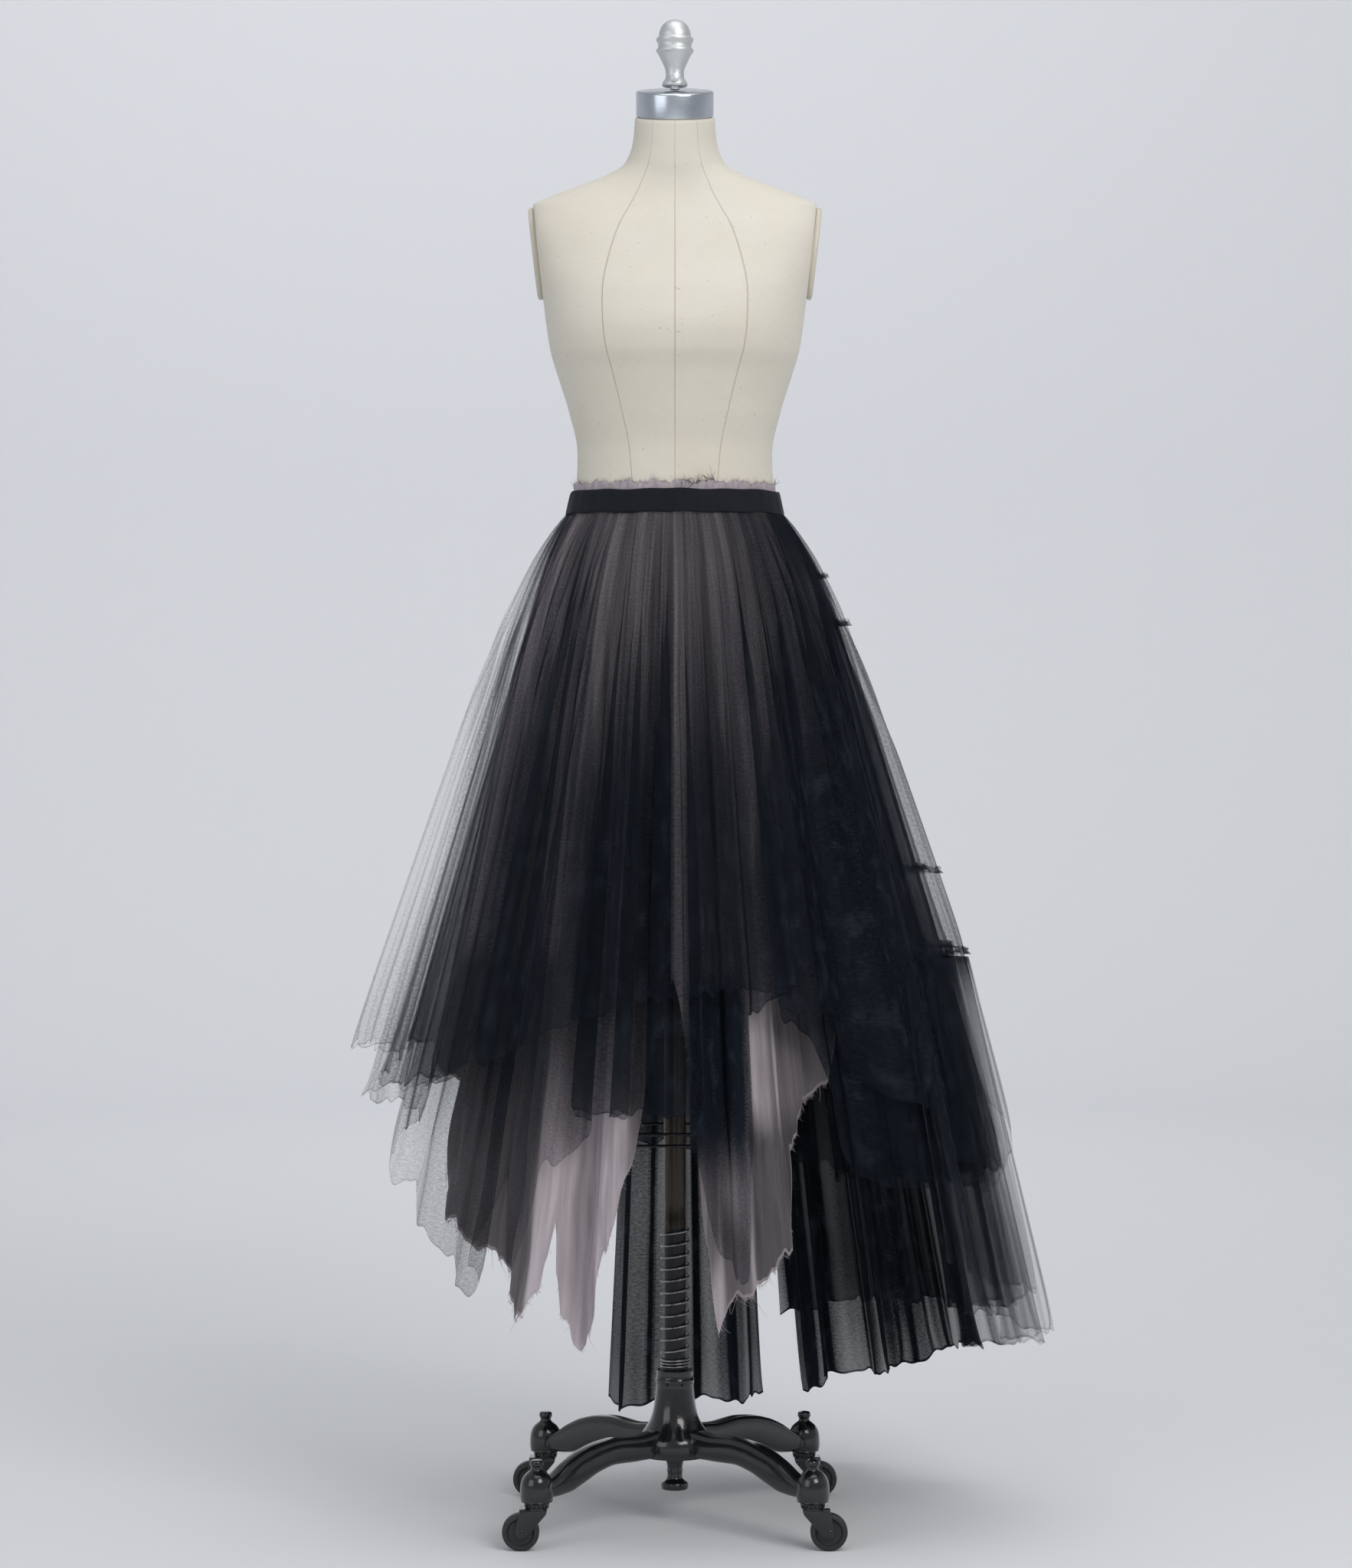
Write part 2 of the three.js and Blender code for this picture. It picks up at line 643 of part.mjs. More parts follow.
// Moves a column sideways along the skirt, for the seam gap between a front and a back panel
function nudged(column, degrees, distance) {
  const way = polar(degrees + 90, distance, 0);
  return { outer: column.outer.map((p) => p.clone().add(way)), inner: column.inner.map((p) => p.clone().add(way)) };
}

function panelWall(columns) {
  return wall(
    columns.map((c) => c.outer),
    columns.map((c) => c.inner),
    false,
  );
}

const quarter = columnsAround / 4;

function buildLayer(name) {
  const halves = { front: -quarter, back: quarter };
  for (const [half, first] of Object.entries(halves)) {
    const columns = Array.from({ length: 2 * quarter + 1 }, (_, i) => layerColumn(name, first + i));
    columns[0] = nudged(columns[0], first * columnDegrees, seamGap / 2);
    columns[2 * quarter] = nudged(columns[2 * quarter], (first + 2 * quarter) * columnDegrees, -seamGap / 2);
    node(name + "_" + half, panelWall(columns), layers[name].finish);
  }
}

// Tiers that hang from the outer layer's hem between two columns, stood off it and fanned out at their own hem
const tiers = [
  {
    name: "lower_tier",
    first: 13,
    last: 35,
    offset: 0,
    slope: 0.225,
    fan: 0,
    hem: [
      { deg: 58.5, drop: 930 },
      { deg: 72, drop: 955 },
      { deg: 90, drop: 1002 },
      { deg: 108, drop: 1028 },
      { deg: 126, drop: 1052 },
      { deg: 135, drop: 1088 },
      { deg: 148.5, drop: 1106 },
      { deg: 157.5, drop: 1130 },
    ],
  },
  {
    name: "lower_tier_inner",
    first: 14,
    last: 35,
    offset: -2.5,
    slope: 0.2,
    fan: 0,
    hem: [
      { deg: 63, drop: 880 },
      { deg: 90, drop: 955 },
      { deg: 112.5, drop: 985 },
      { deg: 135, drop: 970 },
      { deg: 157.5, drop: 1010 },
    ],
  },
  {
    name: "tier_overlay",
    first: 17,
    last: 23,
    offset: 2.5,
    slope: 0.245,
    fan: 0,
    hem: [
      { deg: 76.5, drop: 690 },
      { deg: 85.5, drop: 770 },
      { deg: 90, drop: 818 },
      { deg: 94.5, drop: 838 },
      { deg: 103.5, drop: 740 },
    ],
  },
  {
    name: "back_train",
    first: 36,
    last: 43,
    offset: 0,
    slope: 0.1,
    fan: 2.5,
    hem: [
      { deg: 162, drop: 1116 },
      { deg: 171, drop: 1142 },
      { deg: 180, drop: 1126 },
      { deg: 189, drop: 1146 },
      { deg: 193.5, drop: 1128 },
    ],
  },
];

function tierColumn(tier, column) {
  const rows = 4;
  const degrees = column * columnDegrees;
  const above = layerColumn("tulle_over", column).inner.at(-1);
  const topDepth = waistZ - seamGap - above.z;
  const standOff = Math.hypot(above.x, above.y) + tier.offset - foldAt(column, degrees, topDepth);
  const drop = along(tier.hem, "deg", degrees, "drop");
  const fan = lerp(-tier.fan, tier.fan, (column - tier.first) / (tier.last - tier.first));
  const points = Array.from({ length: rows + 1 }, (_, j) => {
    const depth = lerp(topDepth + seamGap, drop, j / rows);
    const radius = standOff + tier.slope * (depth - topDepth) + foldAt(column, degrees, depth);
    const turn = degrees + (fan * j) / rows;
    const z = waistZ - seamGap - depth;
    return { inner: polar(turn, radius, z), outer: polar(turn, radius + wallThickness(depth), z) };
  });
  return { outer: points.map((p) => p.outer), inner: points.map((p) => p.inner) };
}

function buildTier(tier) {
  const columns = [];
  for (let column = tier.first; column <= tier.last; column++) columns.push(tierColumn(tier, column));
  node(tier.name, panelWall(columns), materials.tulle);
}

// Raw gathered seam edges that stand on the outer layer at the viewer's right and round the back
const ruffles = [
  { name: "seam_ruffle_1", first: 18, last: 32, top: 68, bottom: 76 },
  { name: "seam_ruffle_2", first: 18, last: 34, top: 124, bottom: 136 },
  { name: "seam_ruffle_3", first: 16, last: 34, top: 424, bottom: 434 },
  { name: "seam_ruffle_4", first: 13, last: 34, top: 520, bottom: 530 },
];
const ruffleThickness = 2.2;
const ruffleStandOff = 1.5;

// A point on the outer layer's face, moved out, between two of its rows
function onOuterLayer(column, depth, out) {
  const face = layerColumn("tulle_over", column).outer;
  const z = waistZ - seamGap - depth;
  const below = face.findIndex((p) => p.z <= z);
  const share = (face[below - 1].z - z) / (face[below - 1].z - face[below].z);
  return face[below - 1].clone().lerp(face[below], share).add(polar(column * columnDegrees, out, 0));
}

function buildRuffle(ruffle) {
  const columns = [];
  for (let column = ruffle.first; column <= ruffle.last; column++) {
    const flare = column % 2 ? 2.6 : 1.2;
    const depths = [ruffle.top - (column % 3 ? 0 : 2), ruffle.bottom];
    const lifts = [flare + ruffleStandOff, ruffleStandOff];
    columns.push({
      inner: depths.map((depth, j) => onOuterLayer(column, depth, lifts[j])),
      outer: depths.map((depth, j) => onOuterLayer(column, depth, lifts[j] + ruffleThickness)),
    });
  }
  node(ruffle.name, panelWall(columns), materials.tulle);
}

buildTorso();
buildCap();
buildFinial();
buildCage();
buildPole();
buildSpring();
buildBase();
buildCasters();
buildBand();
Object.keys(layers).forEach(buildLayer);
tiers.forEach(buildTier);
ruffles.forEach(buildRuffle);

// The origin is the middle of the whole object's footprint, on the floor
const reach = new THREE.Box3().setFromObject(model, true);
const middle = reach.getCenter(new THREE.Vector3());
model.position.set(-middle.x, -middle.y, -reach.min.z);

export default model;
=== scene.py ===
# Layered tulle skirt over a satin underskirt, on a dress form with a sprung pole and a rolling base
# Sizes are in millimetres from the pole's axis and the floor until a piece is placed
import math
import bmesh
import bpy
import numpy as np
from mathutils import Matrix, Vector


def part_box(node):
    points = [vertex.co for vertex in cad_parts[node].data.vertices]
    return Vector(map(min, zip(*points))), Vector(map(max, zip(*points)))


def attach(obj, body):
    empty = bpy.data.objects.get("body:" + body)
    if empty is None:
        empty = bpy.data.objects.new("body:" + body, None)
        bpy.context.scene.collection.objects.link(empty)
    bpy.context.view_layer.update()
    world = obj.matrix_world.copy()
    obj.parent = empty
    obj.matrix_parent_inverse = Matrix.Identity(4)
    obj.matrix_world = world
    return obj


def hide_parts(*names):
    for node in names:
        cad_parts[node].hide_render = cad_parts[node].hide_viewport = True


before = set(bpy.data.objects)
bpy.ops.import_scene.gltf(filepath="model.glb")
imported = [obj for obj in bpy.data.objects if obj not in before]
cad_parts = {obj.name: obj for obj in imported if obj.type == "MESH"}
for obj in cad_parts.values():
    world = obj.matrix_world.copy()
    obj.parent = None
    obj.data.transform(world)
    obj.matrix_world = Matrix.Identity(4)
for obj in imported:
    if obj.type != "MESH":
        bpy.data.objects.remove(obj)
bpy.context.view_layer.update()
poleLow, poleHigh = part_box("pole_upper")
axisX = (poleLow.x + poleHigh.x) / 2
axisY = (poleLow.y + poleHigh.y) / 2
dice = np.random.default_rng(11)
scene = bpy.context.scene


def toFrame(points):
    return np.asarray(points) / 1000 + np.array([axisX, axisY, 0.0])


# ---- shader helpers

class Wire:
    def __init__(self, finish, socket):
        self.finish, self.socket = finish, socket

    def maths(self, operation, first, second=0.0, clamp=False):
        return self.finish.node("ShaderNodeMath", {"operation": operation, "use_clamp": clamp}, {0: first, 1: second})

    def __add__(self, other):
        return self.maths("ADD", self, other)

    def __mul__(self, other):
        return self.maths("MULTIPLY", self, other)

    def __sub__(self, other):
        return self.maths("SUBTRACT", self, other)

    def __rsub__(self, other):
        return self.maths("SUBTRACT", other, self)

    def __pow__(self, other):
        return self.maths("POWER", self, other)

    __radd__ = __add__
    __rmul__ = __mul__

    def sine(self):
        return self.maths("SINE", self)

    def above(self, limit):
        return self.maths("GREATER_THAN", self, limit)

    def below(self, limit):
        return self.maths("LESS_THAN", self, limit)

    def clamped(self):
        return self.maths("ADD", self, 0.0, clamp=True)

    def between(self, low, high):
        return self.finish.node("ShaderNodeMapRange", {"clamp": True}, {"Value": self, "From Min": low, "From Max": high})


class Finish:
    def __init__(self, name):
        self.material = bpy.data.materials.new(name)
        self.material.use_nodes = True
        self.tree = self.material.node_tree
        self.tree.nodes.clear()

    def node(self, kind, settings=None, inputs=None, output=0):
        made = self.tree.nodes.new(kind)
        for key, value in (settings or {}).items():
            if key == "stops":
                made.color_ramp.elements.remove(made.color_ramp.elements[-1])
                for at, (position, colour) in enumerate(value):
                    stops = made.color_ramp.elements
                    stop = stops[0] if at == 0 else stops.new(position)
                    stop.position, stop.color = position, (*colour, 1)
            else:
                setattr(made, key, value)
        for key, value in (inputs or {}).items():
            if isinstance(value, Wire):
                self.tree.links.new(value.socket, made.inputs[key])
            else:
                made.inputs[key].default_value = value
        return Wire(self, made.outputs[output]) if len(made.outputs) else None

    def place(self, source="Object"):
        return self.node("ShaderNodeTexCoord", output=source)

    def cloth(self):
        return self.node("ShaderNodeUVMap", {"uv_map": "cloth"})

    def stored(self, name):
        return self.node("ShaderNodeAttribute", {"attribute_name": name}, output="Fac")

    def stretched(self, vector, scale, rotation=(0, 0, 0)):
        return self.node("ShaderNodeMapping", {}, {"Vector": vector, "Scale": scale, "Rotation": rotation})

    def noise(self, vector, scale=1.0, detail=2.0, roughness=0.5):
        inputs = {"Vector": vector, "Scale": scale, "Detail": detail, "Roughness": roughness}
        return self.node("ShaderNodeTexNoise", {}, inputs)

    def lines(self, vector, scale, turn, sharp=2.0):
        bands = self.node("ShaderNodeTexWave", {}, {"Vector": self.stretched(vector, (1, 1, 1), (0, 0, turn)), "Scale": scale})
        return bands ** sharp

    def mix(self, factor, a, b):
        a, b = [(*c, 1) if isinstance(c, tuple) else c for c in (a, b)]
        return self.node("ShaderNodeMix", {"data_type": "RGBA"}, {0: factor, 6: a, 7: b}, output=2)

    def bump(self, height, strength, distance):
        return self.node("ShaderNodeBump", {}, {"Height": height, "Strength": strength, "Distance": distance})

    def surface(self, inputs):
        inputs = {key: (*value, 1) if isinstance(value, tuple) and len(value) == 3 else value for key, value in inputs.items()}
        shader = self.node("ShaderNodeBsdfPrincipled", {}, inputs)
        self.node("ShaderNodeOutputMaterial", {}, {"Surface": shader})
        return self.material


# ---- finishes

def tulleFinish(name, look):
    f = Finish(name)
    uv = f.cloth()
    threads = f.lines(uv, look["meshPerMetre"], math.radians(58), 3) + f.lines(uv, look["meshPerMetre"], math.radians(-58), 3)
    streaks = f.noise(f.stretched(uv, (look["streaksPerMetre"], 2.2, 1)), 1.0, 1.0, 0.62)
    clouds = f.noise(f.stretched(uv, (26, 5, 1)), 1.0, 0.0)
    grain = f.noise(uv, 420, 0.0)
    hem = f.stored("hem").below(look["hemWidth"])
    alpha = f.stored("cover") + (streaks - 0.5) * look["streaking"] + (clouds - 0.5) * 0.12 + (grain - 0.5) * look["grain"] + (threads - 0.75) * look["net"]
    alpha = (alpha + hem * look["hemWeight"]).between(0.03, 1.0) * 0.97 + 0.03
    crinkle = f.noise(f.stretched(uv, (110, 26, 1)), 1.0, 1.0, 0.62)
    colour = f.mix(streaks.between(0.35, 0.7), look["dark"], look["light"])
    # lighter flecks: partly random grain as dust on the net, partly a painted highlight along the crinkles
    colour = f.mix(crinkle.between(0.52, 0.7) * 0.6 + (grain - 0.5), colour, look["dustAndCrinkleHighlight"])
    return f.surface({
        "Base Color": colour, "Roughness": 0.8, "Alpha": alpha, "Specular IOR Level": 0.08,
        "Sheen Weight": look["sheen"], "Sheen Roughness": 0.45, "Sheen Tint": (0.62, 0.7, 0.85),
    })


def satinFinish(name, look):
    f = Finish(name)
    uv = f.cloth()
    weave = f.lines(uv, 640, 0.0, 1) + f.lines(uv, 640, math.radians(90), 1)
    puckers = f.noise(f.stretched(uv, (70, 9, 1)), 1.0, 3.0, 0.55)
    rumple = f.noise(f.stretched(uv, (16, 11, 1)), 1.0, 3.0, 0.6)
    stain = f.noise(f.stretched(uv, (5, 3, 1)), 1.0, 4.0, 0.6)
    raw = f.stored("hem").below(0.004)
    colour = f.mix(stain.between(0.3, 0.72), look["shade"], look["light"])
    # painted shade: the satin darkens towards its shade colour where the cover attribute is low, with fine streaks of
    # painted fold shade
    colour = f.mix(f.stored("cover").clamped() * (f.noise(f.stretched(uv, (130, 7, 1)), 1.0, 2.0).between(0.3, 0.6) * 0.3 + 0.7), look["deep"], colour)
    colour = f.mix(raw * 0.55, colour, look["raw"])
    height = puckers * 0.5 + rumple * 1.0 + weave * 0.015
    return f.surface({
        "Base Color": colour, "Roughness": puckers.between(-0.6, 1.6) * 0.28 + 0.3, "Normal": f.bump(height, 0.85, 0.005),
        "Sheen Weight": 0.25, "Sheen Roughness": 0.35, "Sheen Tint": (0.9, 0.84, 0.88), "Specular IOR Level": 0.45,
    })


def ribbonFinish(name, look):
    f = Finish(name)
    uv = f.cloth()
    twill = f.lines(uv, 900, math.radians(52), 1.5)
    lint = f.noise(uv, 900, 3.0).above(0.69)
    wear = f.noise(f.stretched(uv, (22, 60, 1)), 1.0, 3.0)
    colour = f.mix(twill.clamped(), look["dark"], look["light"])
    colour = f.mix(lint * 0.25, colour, (0.12, 0.13, 0.15))
    return f.surface({
        "Base Color": colour, "Roughness": wear.between(0.2, 0.8) * 0.2 + 0.5, "Normal": f.bump(twill + wear * 1.5, 0.4, 0.0004),
        "Sheen Weight": 0.06, "Sheen Roughness": 0.4, "Sheen Tint": (0.6, 0.68, 0.82), "Specular IOR Level": 0.18,
    })


def linenFinish(name, look):
    f = Finish(name)
    uv = f.cloth()
    place = f.place()
    weft = f.noise(f.stretched(uv, (260, 1500, 1)), 1.0, 2.0)
    warp = f.noise(f.stretched(uv, (1500, 260, 1)), 1.0, 2.0)
    slub = f.noise(f.stretched(uv, (40, 900, 1)), 1.0, 2.0).between(0.62, 0.8)
    age = f.noise(place, 5.0, 4.0, 0.6)
    speck = f.noise(place, 210, 2.0).above(0.735)
    seam = f.stored("seam").between(0.62, 1.0)
    colour = f.mix(age.between(0.3, 0.75), look["light"], look["aged"])
    colour = f.mix((weft + warp) * 0.22, colour, look["thread"])
    colour = f.mix(speck * 0.4, colour, (0.32, 0.25, 0.17))
    colour = f.mix(seam * 0.5, colour, (0.42, 0.35, 0.26))
    height = weft + warp + slub * 0.8 - seam * 6.0
    return f.surface({"Base Color": colour, "Roughness": 0.78, "Normal": f.bump(height, 0.45, 0.0006), "Sheen Weight": 0.12, "Sheen Roughness": 0.5})


def metalFinish(name, look):
    f = Finish(name)
    place = f.place()
    mottle = f.noise(place, look["mottleScale"], 4.0, 0.6)
    fine = f.noise(place, look["mottleScale"] * 6, 3.0, 0.6)
    worn = (mottle * 0.6 + fine * 0.4).between(look["wornFrom"], look["wornFrom"] + 0.12)
    colour = f.mix(worn * look["wear"], look["colour"], look["under"])
    return f.surface({
        "Base Color": colour, "Metallic": look["metallic"], "Roughness": fine.between(0.2, 0.8) * look["roughRange"] + look["roughness"],
        "Normal": f.bump(mottle * look["cast"] + fine * 0.5, look["bump"], 0.001), "Coat Weight": look["coat"], "Coat Roughness": 0.06,
        "Specular IOR Level": look.get("gloss", 0.5),
    })


def brushedFinish(name, look):
    f = Finish(name)
    place = f.place()
    brushing = f.noise(f.stretched(place, (60, 60, 2600)), 1.0, 2.0)
    bands = f.noise(f.stretched(f.cloth(), (7, 0.01, 1)), 1.0, 1.0)
    colour = f.mix(bands.between(0.3, 0.7), look["dark"], look["light"])
    return f.surface({"Base Color": colour, "Metallic": 1.0, "Roughness": brushing.between(0.2, 0.8) * 0.14 + look["roughness"], "Normal": f.bump(brushing, 0.12, 0.0003)})


def threadFinish(name, colour):
    f = Finish(name)
    fuzz = f.noise(f.place(), 900, 2.0)
    return f.surface({"Base Color": f.mix(fuzz, tuple(c * 0.6 for c in colour), colour), "Roughness": 0.8, "Sheen Weight": 0.3})


def studioFinish(name, colour):
    return Finish(name).surface({"Base Color": colour, "Roughness": 0.9, "Specular IOR Level": 0.0})


tulleLooks = {
    "over": {"meshPerMetre": 210, "streaksPerMetre": 120, "streaking": 0.2, "net": 0.12, "grain": 0.36, "hemWidth": 0.0022, "hemWeight": 0.2,
             "dark": (0.0018, 0.0036, 0.0066), "light": (0.0065, 0.01, 0.016), "dustAndCrinkleHighlight": (0.021, 0.028, 0.039), "sheen": 0.03},
    "under": {"meshPerMetre": 190, "streaksPerMetre": 90, "streaking": 0.24, "net": 0.1, "grain": 0.36, "hemWidth": 0.0022, "hemWeight": 0.16,
              "dark": (0.0018, 0.0038, 0.007), "light": (0.0058, 0.009, 0.0145), "dustAndCrinkleHighlight": (0.018, 0.024, 0.034), "sheen": 0.02},
    "tier": {"meshPerMetre": 200, "streaksPerMetre": 80, "streaking": 0.3, "net": 0.1, "grain": 0.12, "hemWidth": 0.003, "hemWeight": 0.14,
             "dark": (0.002, 0.0038, 0.0064), "light": (0.008, 0.0118, 0.018), "dustAndCrinkleHighlight": (0.027, 0.034, 0.045), "sheen": 0.04},
    "ruffle": {"meshPerMetre": 210, "streaksPerMetre": 200, "streaking": 0.9, "net": 0.1, "grain": 0.7, "hemWidth": 0.001, "hemWeight": 0.1,
               "dark": (0.003, 0.004, 0.006), "light": (0.01, 0.013, 0.018), "dustAndCrinkleHighlight": (0.02, 0.025, 0.03), "sheen": 0.04},
}
finishes = {"tulle" + key.title(): tulleFinish("tulle" + key.title(), look) for key, look in tulleLooks.items()}
# the satin's darkest colour is painted shade, mixed in where the cover attribute is low
finishes["satin"] = satinFinish("mauveSatin", {"light": (0.55, 0.485, 0.52), "shade": (0.43, 0.378, 0.41), "raw": (0.42, 0.37, 0.39), "deep": (0.035, 0.03, 0.034)})
finishes["ribbon"] = ribbonFinish("twillRibbon", {"dark": (0.0025, 0.0035, 0.006), "light": (0.008, 0.0105, 0.016)})
finishes["linen"] = linenFinish("creamLinen", {"light": (0.76, 0.73, 0.65), "aged": (0.68, 0.63, 0.53), "thread": (0.56, 0.51, 0.42)})
finishes["iron"] = metalFinish("blackIron", {"colour": (0.005, 0.0065, 0.008), "under": (0.05, 0.048, 0.045), "mottleScale": 55, "wornFrom": 0.6,
                               "wear": 0.18, "metallic": 0.0, "roughness": 0.09, "roughRange": 0.12, "cast": 1.6, "bump": 0.3, "coat": 0.6, "gloss": 0.4})
finishes["wire"] = metalFinish("darkWire", {"colour": (0.01, 0.01, 0.012), "under": (0.05, 0.05, 0.05), "mottleScale": 90, "wornFrom": 0.6,
                               "wear": 0.3, "metallic": 0.4, "roughness": 0.35, "roughRange": 0.2, "cast": 0.6, "bump": 0.2, "coat": 0.1})
finishes["spring"] = metalFinish("springSteel", {"colour": (0.3, 0.3, 0.31), "under": (0.03, 0.028, 0.026), "mottleScale": 140, "wornFrom": 0.5,
                                 "wear": 0.8, "metallic": 0.9, "roughness": 0.2, "roughRange": 0.2, "cast": 0.6, "bump": 0.2, "coat": 0.1})
finishes["bronze"] = metalFinish("bronzeLacquer", {"colour": (0.035, 0.027, 0.02), "under": (0.12, 0.09, 0.06), "mottleScale": 60, "wornFrom": 0.58,
                                 "wear": 0.4, "metallic": 0.7, "roughness": 0.32, "roughRange": 0.2, "cast": 0.8, "bump": 0.2, "coat": 0.2})
finishes["silver"] = metalFinish("silverPaint", {"colour": (0.66, 0.68, 0.68), "under": (0.3, 0.3, 0.29), "mottleScale": 120, "wornFrom": 0.6,
                                 "wear": 0.5, "metallic": 0.85, "roughness": 0.36, "roughRange": 0.2, "cast": 1.2, "bump": 0.4, "coat": 0.1})
finishes["enamel"] = metalFinish("platePaint", {"colour": (0.62, 0.58, 0.48), "under": (0.3, 0.27, 0.2), "mottleScale": 60, "wornFrom": 0.6,
                                 "wear": 0.4, "metallic": 0.0, "roughness": 0.35, "roughRange": 0.15, "cast": 0.5, "bump": 0.15, "coat": 0.2})
finishes["rubber"] = metalFinish("hardRubber", {"colour": (0.017, 0.018, 0.02), "under": (0.11, 0.11, 0.11), "mottleScale": 80, "wornFrom": 0.58,
                                 "wear": 0.4, "metallic": 0.0, "roughness": 0.42, "roughRange": 0.25, "cast": 0.8, "bump": 0.3, "coat": 0.0})
finishes["chrome"] = brushedFinish("brushedChrome", {"dark": (0.42, 0.46, 0.51), "light": (0.8, 0.84, 0.89), "roughness": 0.16})
finishes["threadMauve"] = threadFinish("threadMauve", (0.4, 0.34, 0.37))
finishes["threadBlack"] = threadFinish("threadBlack", (0.02, 0.022, 0.028))
print("finishes made:", len(finishes))


# ---- mesh helpers

def keep(name, mesh, finish, body="form", nodes=(), slot=None):
    piece = bpy.data.objects.new(name, mesh)
    scene.collection.objects.link(piece)
    mesh.materials.append(finish)
    mesh.polygons.foreach_set("use_smooth", np.ones(len(mesh.polygons), bool))
    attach(piece, body)
    if nodes:
        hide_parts(*nodes)
    return piece


def storeFloat(mesh, name, values):
    layer = mesh.attributes.new(name, "FLOAT", "POINT")
    layer.data.foreach_set("value", np.asarray(values, np.float32))


def drapedMesh(name, columns, rows, shape, close=False):
    # shape takes arrays u, t from 0 to 1 and gives points in mm, and a dictionary with uv in metres and other values
    bm = bmesh.new()
    bmesh.ops.create_grid(bm, x_segments=columns, y_segments=rows, size=0.5)
    mesh = bpy.data.meshes.new(name)
    bm.to_mesh(mesh)
    bm.free()
    grid = np.zeros(len(mesh.vertices) * 3)
    mesh.vertices.foreach_get("co", grid)
    grid = grid.reshape(-1, 3) + 0.5
    points, facts = shape(grid[:, 0], grid[:, 1])
    mesh.vertices.foreach_set("co", toFrame(points).ravel())
    middle = Vector((axisX, axisY, 0))
    outward = sum(face.normal.xy.dot((face.center - middle).xy) for face in list(mesh.polygons)[::37])
    if outward < 0:
        mesh.flip_normals()
    corners = np.zeros(len(mesh.loops), np.int32)
    mesh.loops.foreach_get("vertex_index", corners)
    mesh.uv_layers.new(name="cloth").data.foreach_set("uv", np.asarray(facts.pop("uv"), np.float32)[corners].ravel())
    for key, values in facts.items():
        storeFloat(mesh, key, values)
    if close:
        bm = bmesh.new()
        bm.from_mesh(mesh)
        bmesh.ops.remove_doubles(bm, verts=bm.verts, dist=0.00002)
        bmesh.ops.recalc_face_normals(bm, faces=bm.faces)
        bm.to_mesh(mesh)
        bm.free()
    return mesh


def lathe(bm, profile, steps, matrix=Matrix.Identity(4)):
    # profile rows are (radius, height) in mm, the two ends on the axis
    verts = [bm.verts.new((r / 1000, 0, z / 1000)) for r, z in profile]
    edges = [bm.edges.new(pair) for pair in zip(verts, verts[1:])]
    spun = bmesh.ops.spin(bm, geom=verts + edges, cent=(0, 0, 0), axis=(0, 0, 1), angle=2 * math.pi, steps=steps, use_merge=True)
    made = set(verts) | {g for g in spun["geom_last"] if isinstance(g, bmesh.types.BMVert)}
    linked = set()
    queue = list(made)
    while queue:
        vert = queue.pop()
        if vert in linked:
            continue
        linked.add(vert)
        queue += [edge.other_vert(vert) for edge in vert.link_edges]
    linked = list(linked)
    bmesh.ops.remove_doubles(bm, verts=linked, dist=0.000001)
    linked = [vert for vert in linked if vert.is_valid]
    bmesh.ops.transform(bm, matrix=matrix, verts=linked)
    return linked


def rounded(profile, cuts=4):
    # the same outline with its corners eased by a curve through its points
    points = np.array(profile, float)
    pad = np.vstack([2 * points[0] - points[1], points, 2 * points[-1] - points[-2]])
    out = []
    for i in range(len(points) - 1):
        p0, p1, p2, p3 = pad[i:i + 4]
        for s in np.arange(cuts) / cuts:
            out.append(0.5 * (2 * p1 + (p2 - p0) * s + (2 * p0 - 5 * p1 + 4 * p2 - p3) * s ** 2 + (3 * p1 - p0 - 3 * p2 + p3) * s ** 3))
    out.append(points[-1])
    out = np.array(out)
    out[:, 0] = np.maximum(out[:, 0], 0)
    return [tuple(row) for row in out]


def finishSolid(name, bm, finish, **options):
    bmesh.ops.recalc_face_normals(bm, faces=bm.faces)
    mesh = bpy.data.meshes.new(name)
    bm.to_mesh(mesh)
    bm.free()
    return keep(name, mesh, finish, **options)


def sharpen(piece, angle=40):
    piece.data.set_sharp_from_angle(angle=math.radians(angle))


def offAxis(x, y, z):
    return Matrix.Translation((axisX + x / 1000, axisY + y / 1000, z / 1000))


# ---- the skirt's shape, as in its solids

